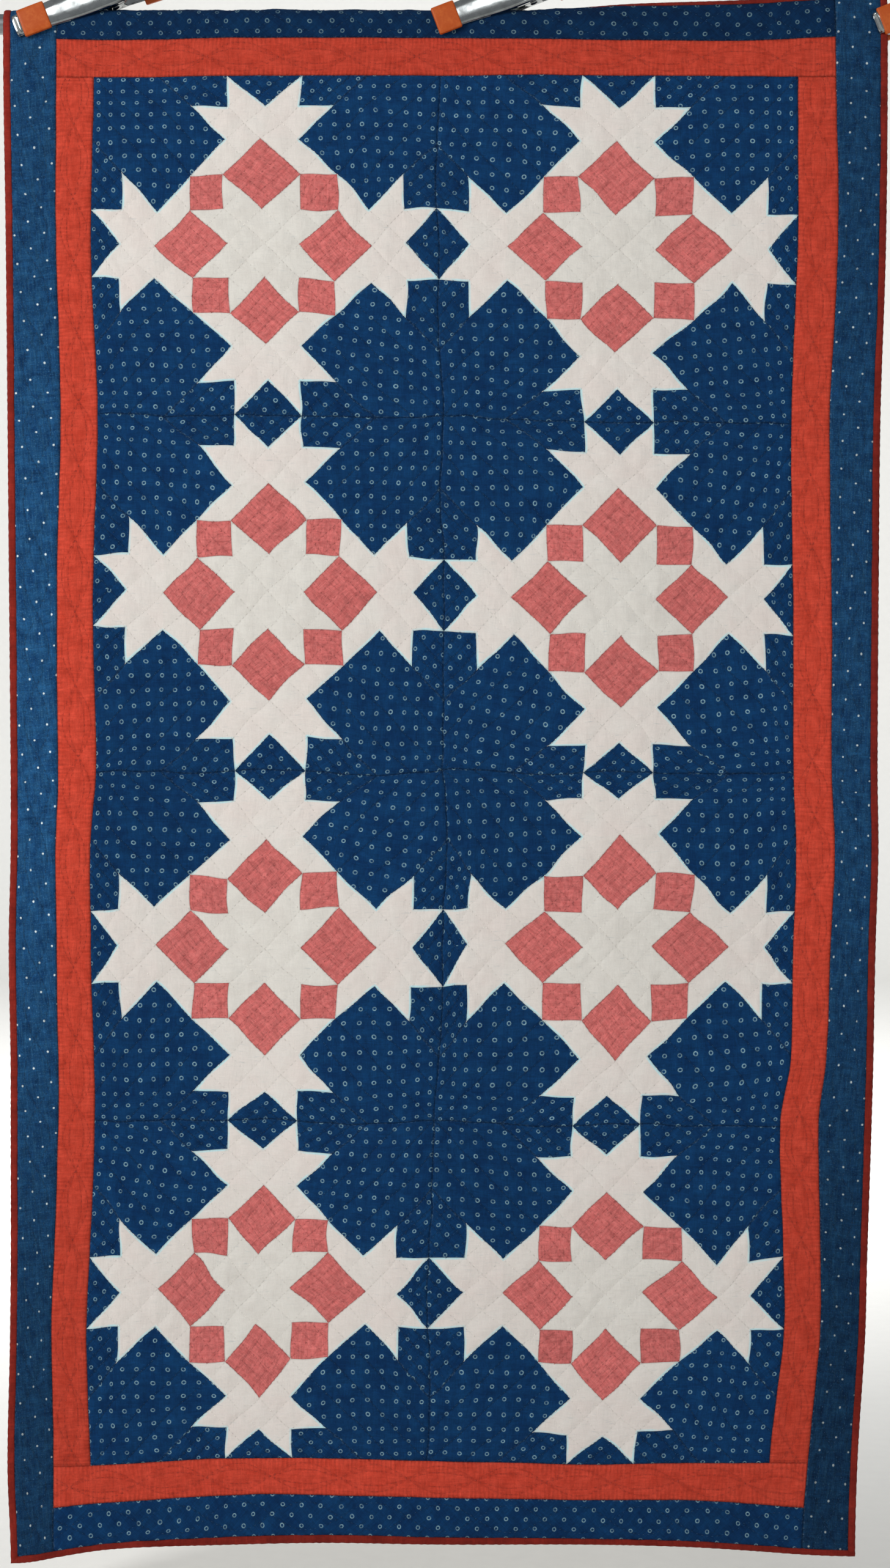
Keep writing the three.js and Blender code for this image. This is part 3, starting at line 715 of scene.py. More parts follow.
def ranged(tree, value, low, high, to_low=0.0, to_high=1.0, smooth=False):
    """A value between low and high brought between two other values, and held there past them."""
    inputs = {"Value": value, "From Min": low, "From Max": high, "To Min": to_low, "To Max": to_high}
    return add_node(tree, "MapRange", inputs, interpolation_type="SMOOTHSTEP" if smooth else "LINEAR")


def reckoned(tree, operation, *values):
    """A number worked out from others."""
    return add_node(tree, "Math", dict(enumerate(values)), operation=operation)


def placed(tree, operation, *values):
    """A place worked out from others."""
    return add_node(tree, "VectorMath", dict(enumerate(values)), operation=operation)


def lit(tree, colour, share):
    """A colour made lighter or darker."""
    return add_node(tree, "VectorMath", {0: colour, "Scale": share}, operation="SCALE")


def blended(tree, share, first, second):
    """A colour that goes over to a second one by a share."""
    return add_node(tree, "Mix", {0: share, 6: first, 7: second}, data_type="RGBA").outputs[2]


def carried(tree, name):
    """Numbers that the mesh carries, such as the distance to the nearest seam."""
    return add_node(tree, "Attribute", attribute_name=name).outputs["Fac"]


def new_material(name):
    """An empty material and its tree."""
    material = bpy.data.materials.new(name)
    material.use_nodes = True
    material.node_tree.nodes.clear()
    return material, material.node_tree


def finish_surface(tree, colour, roughness, height=None, bump=(0.0, 0.0), metallic=0.0, specular=0.5):
    """End a material's tree. bump is the strength and the distance by which a height stands up."""
    inputs = {"Base Color": colour, "Roughness": roughness, "Metallic": metallic}
    inputs["Specular IOR Level"] = specular
    if height:
        strength, distance = bump
        relief = {"Height": height, "Strength": strength, "Distance": distance}
        inputs["Normal"] = add_node(tree, "Bump", relief)
    shader = add_node(tree, "BsdfPrincipled", inputs)
    add_node(tree, "OutputMaterial", {"Surface": shader})


# How far the weave wanders off the straight, in millimetres
CLOTH_DRIFT = 2.0


def cloth_place(tree):
    """The place on the cloth in millimetres, from its own UV map, a little off the straight."""
    flat = add_node(tree, "UVMap", uv_map="cloth")
    drift = noise(tree, flat, 0.03).outputs["Color"]
    centred = placed(tree, "SUBTRACT", drift, (0.5, 0.5, 0.5))
    return placed(tree, "MULTIPLY_ADD", centred, (CLOTH_DRIFT, CLOTH_DRIFT, 0.0), flat)


# The puckers beside a strip's seams, and the stretch of its creases along and across the weave
RIB_LENGTH = 4.8
RIB_REACH = 15.0
CREASE_SCALES = ((0.05, 0.24, 1.0), (0.24, 0.05, 1.0))
SHARP_CREASE_SCALES = ((0.05, 0.17, 1.0), (0.17, 0.05, 1.0))
# The share of light that one step of the tone gives: a patch's own tone, or the painted light and shade of a
# strip or of the binding
TONE_SHARE = 0.05


def finish_cotton(
    tree, place, colour, worn_colour, grain, painted_crease_shading, lines, furrows, seams, rubs, painted_rib_shading=0.0, with_tone_and_painted_light=True
):
    """Threads over a plain weave's colour, with painted light and shade on its soft folds, painted shade
    in thin crease lines, along stitched furrows and at seams, rubbed seams, painted light and shade on
    the puckers that stand along a strip's seams, the tone, and a matt finish. Each number is the share
    of light that its detail takes or gives."""
    # Real threads lie 0.4 mm apart. They are drawn 1.1 mm apart, so that they show.
    warp = noise(tree, stretched(tree, place, (0.9, 0.06, 1.0)))
    weft = noise(tree, stretched(tree, place, (0.06, 0.9, 1.0), Location=(7, 3, 0)))
    threads = reckoned(tree, "ADD", warp, weft)
    woven = reckoned(tree, "ADD", threads, noise(tree, place, 0.55, 3.0, Roughness=0.7))
    shades = [ranged(tree, woven, 1.0, 2.0, 1 - grain, 1 + grain)]

    # Soft creases run both ways, where washing has drawn the cotton up between its stitches. Their painted
    # light and shade lighten and darken the colour, and they also give the bump its height.
    folds = [noise(tree, stretched(tree, place, scale), 1.0, 3.0, Distortion=0.4) for scale in CREASE_SCALES]
    fold = reckoned(tree, "ADD", *folds)
    shades.append(ranged(tree, fold, 0.8, 1.2, 1 - painted_crease_shading, 1 + painted_crease_shading))

    # Sharp creases are painted shade: thin dark lines where the noise passes through its middle value. The
    # lines share sets how dark they are.
    painted_sharp_crease_shade = []
    for scale in SHARP_CREASE_SCALES:
        line_place = stretched(tree, place, scale, Rotation=(0, 0, 0.5))
        crumple = noise(tree, line_place, 1.0, 2.0, Distortion=0.8)
        painted_sharp_crease_shade.append(reckoned(tree, "ABSOLUTE", reckoned(tree, "SUBTRACT", crumple, 0.5)))
    line = reckoned(tree, "MINIMUM", *painted_sharp_crease_shade)
    shades.append(ranged(tree, line, 0.0, 0.03, 1 - lines, 1.0, smooth=True))

    seam = carried(tree, "seam")
    # Painted shade: the colour darkens along the lines of quilting stitches, by the furrows share.
    shades.append(ranged(tree, carried(tree, "stitches"), 0.3, 1.6, 1 - furrows, 1.0, smooth=True))
    # Painted shadow: a thin dark line at each seam, by the seams share.
    shades.append(ranged(tree, seam, 0.2, 1.3, 1 - seams, 1.0, smooth=True))
    height = reckoned(tree, "MULTIPLY_ADD", woven, 0.25, fold)
    # Painted light and shade on the puckers beside a strip's seams, which also give the bump its height.
    if painted_rib_shading:
        wave = {"Vector": place, "Scale": math.pi / 10 / RIB_LENGTH, "Distortion": 2.5, "Detail": 2.0}
        wave["Detail Scale"] = 1.2
        rib = add_node(tree, "TexWave", wave, wave_profile="SIN").outputs["Fac"]
        reach = ranged(tree, seam, 1.0, RIB_REACH, 1.0, 0.12)
        rib = reckoned(tree, "MULTIPLY", reckoned(tree, "SUBTRACT", rib, 0.5), reach)
        shades.append(reckoned(tree, "MULTIPLY_ADD", rib, 2 * painted_rib_shading, 1.0))
        height = reckoned(tree, "MULTIPLY_ADD", rib, 0.7, height)
    # The tone: a patch's own random tone, and on the strips and the binding painted light and shade.
    if with_tone_and_painted_light:
        shades.append(reckoned(tree, "MULTIPLY_ADD", carried(tree, "tone"), TONE_SHARE, 1.0))
    shade = shades[0]
    for other in shades[1:]:
        shade = reckoned(tree, "MULTIPLY", shade, other)

    near = ranged(tree, seam, 2.6, 0.6, smooth=True)
    specks = noise(tree, place, 0.32, 3.0, Roughness=0.65)
    worn = reckoned(tree, "MULTIPLY", near, ranged(tree, specks, 0.5, 0.7, 0.0, rubs))
    surface = blended(tree, worn, lit(tree, colour, shade), worn_colour)
    finish_surface(tree, surface, 0.92, height, (0.5, 0.0009), specular=0.1)


def dyed(name):
    """One of the settings' colours, with its alpha."""
    return [*getattr(bpy.context.scene.star_quilt, name), 1.0]


def mottled(tree, place, dark, pale, size):
    """Two shades of one dye, washed out in uneven spots of a size in millimetres."""
    wash = noise(tree, place, 1 / size, 5.0, Roughness=0.65)
    return blended(tree, ranged(tree, wash, 0.35, 0.65), dyed(dark), dyed(pale))


# The ring print, in millimetres
RING_PITCH = 15.4
RING_RADIUS = 1.85
RING_LINE = 0.55


def ring_print(name):
    """Indigo cotton with resist rings: plain woven, dyed deep blue and washed thin with age."""
    material, tree = new_material(name)
    place = cloth_place(tree)
    ground = mottled(tree, place, "indigo", "indigo_pale", 22)
    half = RING_PITCH / 2
    cell = placed(tree, "WRAP", place, (half, half, 1), (-half, -half, -1))
    radius = placed(tree, "LENGTH", cell).outputs["Value"]
    gap = reckoned(tree, "ABSOLUTE", reckoned(tree, "SUBTRACT", radius, RING_RADIUS))
    ring = ranged(tree, gap, RING_LINE + 0.25, RING_LINE - 0.35, smooth=True)
    fade = noise(tree, place, 0.18, 3.0, Roughness=0.7)
    share = reckoned(tree, "MULTIPLY", ring, ranged(tree, fade, 0.32, 0.58, 0.2, 0.85))
    printed = blended(tree, share, ground, dyed("ring"))
    finish_cotton(tree, place, printed, linear("#5F7F99"), 0.3, 0.1, 0.12, 0.25, 0.25, 0.3)
    return material


# The dot print, in millimetres
DOT_COLUMNS = 17.4
DOT_PITCH = 32.0
DOT_RADIUS = 1.25


def dot_print(name):
    """Indigo cotton with white dots, worn to its weave: plain woven, dyed and much washed."""
    material, tree = new_material(name)
    place = cloth_place(tree)
    ground = mottled(tree, place, "dot_indigo", "dot_indigo_pale", 14)
    streaks = noise(tree, stretched(tree, place, (0.5, 0.025, 1)), 1.0, 4.0, Roughness=0.7)
    ground = blended(tree, ranged(tree, streaks, 0.5, 0.72, 0.0, 0.5), ground, dyed("dot_streak"))
    flecks = noise(tree, place, 0.7, 2.0, Roughness=0.6)
    ground = blended(tree, ranged(tree, flecks, 0.58, 0.74, 0.0, 0.7), ground, dyed("dot_fleck"))
    reach = (DOT_COLUMNS, DOT_PITCH / 2, 1)
    distances = []
    for start in ((0, 0, 0), (DOT_COLUMNS, DOT_PITCH / 2, 0)):
        cell = placed(tree, "WRAP", placed(tree, "ADD", place, start), reach, [-r for r in reach])
        distances.append(placed(tree, "LENGTH", cell).outputs["Value"])
    nearest = reckoned(tree, "MINIMUM", *distances)
    dot = ranged(tree, nearest, DOT_RADIUS + 0.3, DOT_RADIUS - 0.5, smooth=True)
    printed = blended(tree, dot, ground, dyed("dot"))
    finish_cotton(tree, place, printed, linear("#7B93A8"), 0.4, 0.14, 0.2, 0.25, 0.25, 0.3)
    return material


def plain_cotton(name, dye, worn, size, finish):
    """Plain woven cotton in one dye, faded unevenly and rubbed pale at its seams."""
    material, tree = new_material(name)
    place = cloth_place(tree)
    ground = mottled(tree, place, dye, f"{dye}_pale", size)
    finish_cotton(tree, place, ground, linear(worn), *finish)
    return material


def muslin(name, finish):
    """White cotton muslin: plain woven, with thick threads, and blue that bled along the seams."""
    material, tree = new_material(name)
    place = cloth_place(tree)
    middle = mottled(tree, place, "white_grey", "white", 30)
    arm = mottled(tree, place, "white_pink", "white_warm", 45)
    ground = blended(tree, carried(tree, "tone"), middle, arm)
    slubs = noise(tree, stretched(tree, place, (0.07, 0.5, 1.0)))
    ground = blended(tree, ranged(tree, slubs, 0.64, 0.78, 0.0, 0.5), ground, dyed("slub"))
    near = ranged(tree, carried(tree, "dye"), 2.9, 1.2, smooth=True)
    spread = noise(tree, place, 0.04, 3.0)
    share = reckoned(tree, "MULTIPLY", near, ranged(tree, spread, 0.38, 0.58, 0.25, 1.0))
    stained = blended(tree, share, ground, dyed("bleed"))
    finish_cotton(tree, place, stained, linear("#E6E2DA"), *finish, with_tone_and_painted_light=False)
    return material


def object_place(tree):
    """The place on the object in metres."""
    return add_node(tree, "TexCoord").outputs["Object"]


def brushed_steel(name, colour, roughness, stretch):
    """Steel tube drawn and brushed: grey metal with fine lines along its length."""
    material, tree = new_material(name)
    lines = noise(tree, stretched(tree, object_place(tree), stretch), 1.0, 4.0)
    rough = ranged(tree, lines, 0.3, 0.7, roughness - 0.07, roughness + 0.1)
    tint = lit(tree, linear(colour)[:3], ranged(tree, lines, 0.3, 0.7, 0.85, 1.1))
    finish_surface(tree, tint, rough, lines, (0.15, 0.0002), metallic=1.0)
    return material


def polished_steel(name, colour):
    """Pressed steel with bright chrome plating: mirror smooth, with dull specks and wiping marks that darken
    its colour, partly as painted dark reflections of a room.
    """
    material, tree = new_material(name)
    place = object_place(tree)
    smears_and_dark_reflections = noise(tree, place, 60.0, 4.0, Roughness=0.6)
    rough = ranged(tree, smears_and_dark_reflections, 0.4, 0.75, 0.06, 0.2)
    # The darkening is partly wiping marks and partly painted dark reflection.
    tint = lit(tree, linear(colour)[:3], ranged(tree, smears_and_dark_reflections, 0.45, 0.7, 1.05, 0.6))
    waves = noise(tree, place, 45.0, 1.0)
    finish_surface(tree, tint, rough, waves, (0.25, 0.0006), metallic=1.0)
    return material


def dipped_vinyl(name):
    """Soft vinyl dipped on steel: an even orange skin, a little glossy, scuffed and dusty."""
    material, tree = new_material(name)
    scuffs = noise(tree, object_place(tree), 180.0, 5.0, Roughness=0.7)
    colour = blended(tree, ranged(tree, scuffs, 0.45, 0.75), dyed("vinyl"), dyed("vinyl_worn"))
    rough = ranged(tree, scuffs, 0.3, 0.7, 0.32, 0.6)
    finish_surface(tree, colour, rough, scuffs, (0.2, 0.0003), specular=0.3)
    return material


def cotton_thread(name, colour):
    """Waxed cotton thread: two plies twisted, matt, and stained by the cloth that it runs through."""
    material, tree = new_material(name)
    place = object_place(tree)
    stains = noise(tree, place, 45.0, 3.0, Roughness=0.6)
    tint = lit(tree, colour[:3], ranged(tree, stains, 0.35, 0.65, 0.75, 1.25))
    finish_surface(tree, tint, 0.8, noise(tree, place, 900.0, 1.0), (0.3, 0.0002))
    return material


def stage_floor(name, colour):
    """Matt seamless paper: pale, even and without shine."""
    material, tree = new_material(name)
    grain = noise(tree, object_place(tree), 40.0, 3.0)
    tint = lit(tree, linear(colour)[:3], ranged(tree, grain, 0.0, 1.0, 0.97, 1.03))
    finish_surface(tree, tint, 0.95)
    return material


# Operators


def size_property(name, description, size):
    """A length that a user can change, from its size in millimetres."""
    options = {"min": 0.0, "unit": "LENGTH", "precision": 5}
    return FloatProperty(name=name, description=description, default=size * MM, **options)


def colour_property(name, description, default):
    """A colour that a user can change, from its sRGB hex value."""
    options = {"subtype": "COLOR", "size": 3, "min": 0.0, "max": 1.0}
    return FloatVectorProperty(name=name, description=description, default=linear(default)[:3], **options)


class QuiltSettings(bpy.types.PropertyGroup):
    """Sizes and colours of the quilt that a user would change."""

    puff: size_property("Padding", "Height of the padding between stitches", 1.15)
    stitch_length: size_property("Stitch length", "Length of a quilting stitch", 3.0)
    stitch_width: size_property("Stitch width", "Thickness of the quilting thread", 0.62)
    stitch_pitch: size_property("Stitch pitch", "Length of quilting that one stitch takes", 5.6)
    wire: size_property("Spring wire", "Diameter of the clamps' spring wire", 2.3)
    indigo: colour_property("Indigo", "Deep blue of the ring print", "#072B52")
    indigo_pale: colour_property("Washed indigo", "Ring print where it has faded", "#0D3861")
    ring: colour_property("Rings", "Resist rings of the print", "#86A9B3")
    dot_indigo: colour_property("Border indigo", "Blue of the dotted border print", "#0D335A")
    dot_indigo_pale: colour_property("Washed border indigo", "Dotted print where it has faded", "#1C4A72")
    dot_streak: colour_property("Border streaks", "Worn threads of the dotted print", "#33607F")
    dot_fleck: colour_property("Border flecks", "Rubbed specks of the dotted print", "#4A7591")
    dot: colour_property("Dots", "Dots of the border print", "#C9D6D8")
    red: colour_property("Turkey red", "Red of the inner border", "#B33A29")
    red_pale: colour_property("Washed red", "Red border where it has faded", "#C54634")
    binding: colour_property("Binding red", "Dark red of the binding", "#6F1F18")
    binding_pale: colour_property("Washed binding", "Binding where it is rubbed", "#85281F")
    pink: colour_property("Pink", "Double pink of the stars' points", "#C1625F")
    pink_pale: colour_property("Washed pink", "Pink where it has faded", "#CD716D")
    white: colour_property("Muslin", "Undyed cotton of the stars", "#D9D5CD")
    white_grey: colour_property("Grey muslin", "Stars' middles where they have greyed", "#D2CDC5")
    white_pink: colour_property("Tinted muslin", "Stars' arms, tinted by the pink dye", "#D9CFC8")
    white_warm: colour_property("Warm muslin", "Stars' arms where they are cleanest", "#DAD4CD")
    slub: colour_property("Slubs", "Thick grey threads in the muslin", "#AEB4B4")
    bleed: colour_property("Bled dye", "Blue that has run into the muslin's edges", "#B9DCE0")
    thread: colour_property("Thread", "Quilting thread on the muslin", "#E8E4DC")
    thread_pink: colour_property("Pink thread", "Quilting thread stained by the pink", "#B05F5B")
    thread_indigo: colour_property("Blue thread", "Quilting thread stained by the indigo", "#1B4468")
    thread_red: colour_property("Red thread", "Quilting thread stained by the red", "#AE3C2C")
    vinyl: colour_property("Vinyl", "Orange of the clamps' tips and grips", "#AC480A")
    vinyl_worn: colour_property("Scuffed vinyl", "Clamps' tips where they are scuffed", "#BC5E22")


# The camera in metres, its lens and sensor in millimetres
CAMERA_Z = -0.8343
CAMERA_DISTANCE = 3.0
CAMERA_LENS = 63.05
CAMERA_SENSOR = 36.0
CAMERA_REACH = 50.0
# The stage in metres: how far below the camera its floor lies, where that starts and ends, its
# bend up into the wall, the wall's height, and half the width of both
STAGE = {"below": 0.89, "near": -12.0, "far": 11.0, "bend": 1.5, "wall": 10.0, "half_width": 12.0}
BEND_PARTS = 8
ROOM_LIGHT = (0.95, 0.97, 1.0, 1.0)
ROOM_STRENGTH = 0.41
# Each light's place, size and power, and the place that it shines at
QUILT_MIDDLE = (0.0, 0.0, CAMERA_Z)
LIGHTS = [
    ("key", (-2.6, -2.6, 0.6), (1.0, 1.4), 80.0, QUILT_MIDDLE),
    ("fill", (2.2, -3.6, -1.0), (2.0, 2.0), 22.0, QUILT_MIDDLE),
    ("strip", (0.0, -3.1, 0.92), (2.4, 0.17), 7.0, QUILT_MIDDLE),
    ("behind", (-2.4, 3.2, 0.9), (1.4, 1.4), 70.0, QUILT_MIDDLE),
    ("backdrop", (0.0, 2.5, 3.2), (3.0, 1.5), 420.0, (0.0, STAGE["far"], CAMERA_Z)),
]


class QUILT_OT_stage(bpy.types.Operator):
    """Make the pale floor, the soft lights and the camera"""

    bl_idname = "quilt.stage"
    bl_label = "Stage"

    def execute(self, context):
        scene = context.scene
        floor_z = CAMERA_Z - STAGE["below"]
        far, bend = STAGE["far"], STAGE["bend"]
        sweep = [(STAGE["near"], floor_z)]
        for angle in np.linspace(0, math.pi / 2, BEND_PARTS + 1):
            sweep.append((far - bend + bend * math.sin(angle), floor_z + bend * (1 - math.cos(angle))))
        sweep.append((far, floor_z + STAGE["wall"]))
        points = [(x, y, z) for y, z in sweep for x in (-STAGE["half_width"], STAGE["half_width"])]
        a, b, c, d = corners(np.arange(len(points)).reshape(-1, 2))
        floor = mesh_object("floor", points, split(a, d, c, b), [stage_floor("seamless paper", "#EDECE8")])

        world = bpy.data.worlds.new("soft room")
        world.use_nodes = True
        background = world.node_tree.nodes["Background"]
        background.inputs["Color"].default_value = ROOM_LIGHT
        background.inputs["Strength"].default_value = ROOM_STRENGTH
        scene.world = world

        for name, place, size, power, target in LIGHTS:
            data = bpy.data.lights.new(name, "AREA")
            data.shape = "RECTANGLE"
            data.size, data.size_y = size
            data.energy = power
            light = bpy.data.objects.new(name, data)
            light.location = place
            light.rotation_euler = (Vector(target) - Vector(place)).to_track_quat("-Z", "Y").to_euler()
            scene.collection.objects.link(light)

        camera_data = bpy.data.cameras.new("camera")
        camera_data.sensor_fit = "VERTICAL"
        camera_data.sensor_height = CAMERA_SENSOR
        camera_data.lens = CAMERA_LENS
        camera_data.clip_end = CAMERA_REACH
        camera = bpy.data.objects.new("camera", camera_data)
        camera.location = (0, -CAMERA_DISTANCE - (BEND_RADIUS + QUILT_THICKNESS / 2) * MM, CAMERA_Z)
        camera.rotation_euler = (math.pi / 2, 0, 0)
        scene.collection.objects.link(camera)
        scene.camera = camera
        scene.view_settings.view_transform = "Standard"
        return {"FINISHED"}


# Each cotton's maker and name. A plain cotton adds its dye, the colour where it is rubbed, the size
# of its faded spots in millimetres, and its finish. A finish gives the shares of threads, of painted
# light and shade on soft creases, of painted shade in sharp creases, along furrows and at seams, of
# rubbing, and of painted light and shade on the ribs.
COTTONS = {
    "ring": (ring_print, "indigo ring print"),
    "dots": (dot_print, "worn indigo dot print"),
    "red": (plain_cotton, "turkey red cotton", "red", "#CE6E5C", 14, (0.22, 0.08, 0.1, 0.14, 0.26, 0.3, 0.1)),
    "binding": (
        plain_cotton, "dark red binding cotton", "binding", "#A8584C", 30, (0.2, 0.1, 0.08, 0.0, 0.2, 0.3)
    ),
    "pink": (plain_cotton, "pink woven cotton", "pink", "#D99A94", 5, (0.2, 0.12, 0.2, 0.08, 0.3, 0.45)),
    "white": (muslin, "white muslin", (0.05, 0.012, 0.02, 0.03, 0.22, 0.2)),
    "backing": (muslin, "muslin backing", (0.06, 0.03, 0.04, 0.12, 0.0, 0.0)),
}


def cotton(kind):
    """One of the quilt's cottons, made when it is first asked for."""
    maker, name, *rest = COTTONS[kind]
    return bpy.data.materials.get(name) or maker(name, *rest)


def settle(piece, slot, *nodes):
    """Give a finished piece its body and hide the nodes that it stands for. The slot is not used."""
    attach(piece, "root")
    if nodes:
        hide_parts(*nodes)


class QUILT_OT_blocks(bpy.types.Operator):
    """Make the eight star blocks"""

    bl_idname = "quilt.blocks"
    bl_label = "Star blocks"

    def execute(self, context):
        kinds = {WHITE: "white", PINK: "pink", CORNER: "ring"}
        materials = [cotton(kinds[k]) for k in sorted(kinds)]
        for row in range(BLOCK_ROWS):
            for column in range(BLOCK_COLUMNS):
                left = BLOCKS_LEFT + column * BLOCK
                top = BLOCKS_TOP + row * BLOCK
                place = (left, left + BLOCK, top, top + BLOCK)
                name = f"row{row + 1}_col{column + 1}"
                seed = 100 + row * BLOCK_COLUMNS + column
                piece = cloth_panel(f"star_{name}", place, materials, block_patches(seed))
                settle(piece, "patchwork", f"block_{name}")
        return {"FINISHED"}


UPRIGHT = math.pi / 2
DIAGONAL = math.pi / 4
# Each border's left, right, top and bottom as cut, and its painted light and shade at its start, its
# middle and its end, under its cotton, the turn of its weave and its slot
BORDERS = {
    ("red", 0, "red_cotton"): [
        ("red_border_top", (RED_LEFT, RED_RIGHT, RED_TOP, BLOCKS_TOP), (-1.5, -2, -1.5)),
        ("red_border_bottom", (RED_LEFT, RED_RIGHT, BLOCKS_BOTTOM, RED_BOTTOM), (0, 0.5, -1)),
    ],
    ("red", UPRIGHT, "red_cotton"): [
        ("red_border_left", (RED_LEFT, BLOCKS_LEFT, BLOCKS_TOP, BLOCKS_BOTTOM), (0, 2, -2)),
        ("red_border_right", (BLOCKS_RIGHT, RED_RIGHT, BLOCKS_TOP, BLOCKS_BOTTOM), (-1, 1, -2)),
    ],
    ("ring", DIAGONAL, "end_print"): [
        ("blue_border_top", (RED_LEFT, RED_RIGHT, BINDING_WIDTH, RED_TOP), (-7, -8, -8)),
        ("blue_border_bottom", (RED_LEFT, RED_RIGHT, RED_BOTTOM, INNER_BOTTOM), (-1, -1, -3)),
    ],
    ("dots", 0.1, "side_print"): [
        ("blue_border_left", (BINDING_WIDTH, RED_LEFT, BINDING_WIDTH, INNER_BOTTOM), (-2, 5, -8)),
    ],
    ("dots", -0.05, "side_print"): [
        ("blue_border_right", (RED_RIGHT, INNER_RIGHT, BINDING_WIDTH, INNER_BOTTOM), (-6, -3, -11)),
    ],
}


class QUILT_OT_borders(bpy.types.Operator):
    """Make the red borders and the printed blue borders"""

    bl_idname = "quilt.borders"
    bl_label = "Borders"

    def execute(self, context):
        for (cloth, grain, slot), strips in BORDERS.items():
            for name, place, painted_light_along in strips:
                piece = cloth_panel(f"sewn_{name}", place, [cotton(cloth)], grain=grain, painted_light_along=painted_light_along)
                nodes = [name]
                if cloth == "dots":
                    nodes.append(f"{name}_over_rod")
                settle(piece, slot, *nodes)
        return {"FINISHED"}


BINDING_STEP = 3.6
# The fold as it is cut across: how far inside the quilt's edge and in front of its middle
BINDING_PROFILE = [
    (7.8, 1.2), (7.1, 1.8), (5.6, 2.3), (3.0, 2.35), (1.2, 2.15), (0.25, 1.4), (-0.1, 0.0),
    (0.25, -1.4), (1.2, -2.1), (3.0, -2.25), (5.2, -2.25), (6.8, -2.1), (7.7, -1.7), (6.7, 0.0),
]
BINDING_PROFILE_STEP = 2.0
# Its stitches draw the outer part in and press its height, and its inner part runs unevenly
BINDING_STITCH = {"pitch": 5.6, "tuck": 0.22, "uneven": 1.5, "press": 0.108}
BINDING_PARTS = {"outer": 2.0, "inner": 5.0, "uneven": 0.15}
BINDING_CLAMPED = 0.86
BINDING_FOLD = 0.2
# Painted light at the left, the bottom, the right and the top, lightest on the left where the light falls,
# and painted shade that grows down the left
BINDING_PAINTED_LIGHT = (4.0, -2.5, -2.5, -2.0)
BINDING_PAINTED_SHADE_DOWN = 4.0
CUT_CORNERS = [(0.0, 0.0), (0.0, CUT_LENGTH), (CUT_WIDTH, CUT_LENGTH), (CUT_WIDTH, 0.0), (0.0, 0.0)]


def lines_through(stops, counts):
    """Places that pass through some stops, with a number of steps between each two."""
    stretches = zip(stops, stops[1:], counts)
    parts = [np.linspace(start, end, count, endpoint=False) for start, end, count in stretches]
    return np.concatenate([*parts, stops[-1:]])


class QUILT_OT_binding(bpy.types.Operator):
    """Make the dark red binding folded round the quilt's edge"""

    bl_idname = "quilt.binding"
    bl_label = "Binding"

    def execute(self, context):
        across, down = round(CUT_WIDTH / BINDING_STEP), round(CUT_LENGTH / BINDING_STEP)
        counts = [down, across, down, across]
        rail = lines_through(CUT_CORNERS, counts)[:-1]
        side = np.repeat([0, 1, 2, 3], counts)[:, None]
        inward, offset = np.array(BINDING_PROFILE).T
        base_u, base_v = rail[:, :1], rail[:, 1:]
        run = np.arange(len(rail))[:, None] * BINDING_STEP
        turn = 2 * math.pi * run / BINDING_STITCH["pitch"]
        uneven = BINDING_STITCH["uneven"] * LUMPS[0][0](base_u, base_v)
        tuck = BINDING_STITCH["tuck"] * np.sin(turn + uneven)
        drift = BINDING_PARTS["uneven"] * LUMPS[1][0](base_u, base_v)
        depth = inward - tuck * (inward < BINDING_PARTS["outer"]) + drift * (inward > BINDING_PARTS["inner"])
        left, right = depth, CUT_WIDTH - depth
        top, bottom = depth, CUT_LENGTH - depth
        u = np.where(side == 0, left, np.where(side == 2, right, np.clip(base_u, left, right)))
        v = np.where(side == 1, bottom, np.where(side == 3, top, np.clip(base_v, top, bottom)))
        height = offset + BINDING_STITCH["press"] * np.sin(turn) * np.sign(offset)
        height = height * (BINDING_CLAMPED + (1 - BINDING_CLAMPED) * pressed(u, v))
        grid = np.arange(u.size).reshape(u.shape)
        following, beside = np.roll(grid, -1, 0), np.roll(grid, -1, 1)
        triangles = split(grid, beside, np.roll(following, -1, 1), following)
        points = laid_out(u, v, height).reshape(-1, 3)
        piece = mesh_object("folded_binding", points, triangles, [cotton("binding")])
        wrapped = BINDING_PROFILE_STEP * np.arange(1, len(inward) + 1)
        cloth = np.stack(np.broadcast_arrays(run, wrapped), -1)
        add_uv(piece.data, "cloth", cloth.reshape(-1, 2)[triangles])
        add_numbers(piece.data, "seam", np.broadcast_to(np.abs(inward - BINDING_FOLD), u.shape).ravel())
        add_numbers(piece.data, "stitches", UNSEAMED)
        # The tone is painted light by side, and painted shade that grows down the left side.
        tones = np.array(BINDING_PAINTED_LIGHT)[side] - BINDING_PAINTED_SHADE_DOWN * (side == 0) * v / CUT_LENGTH
        add_numbers(piece.data, "tone", tones.ravel())
        settle(
            piece, "binding_cotton", "binding_top", "binding_bottom", "binding_left", "binding_right",
            "binding_left_over_rod", "binding_right_over_rod",
        )
        return {"FINISHED"}


# The back's hidden and outer side and its padding, in millimetres, and how many cells its grid has
BACKING_FRONT = -0.9
BACKING_LEVEL = -1.35
BACKING_PUFF = 1.1
BACKING_LUMPS = (0.3, 0.2)
BACKING_CELLS = {"block": 60, "sides": 14, "ends": 12}
# How far from a cell's middle the quilting is measured, to cut the cell along it
BACKING_LOOK = 1.5


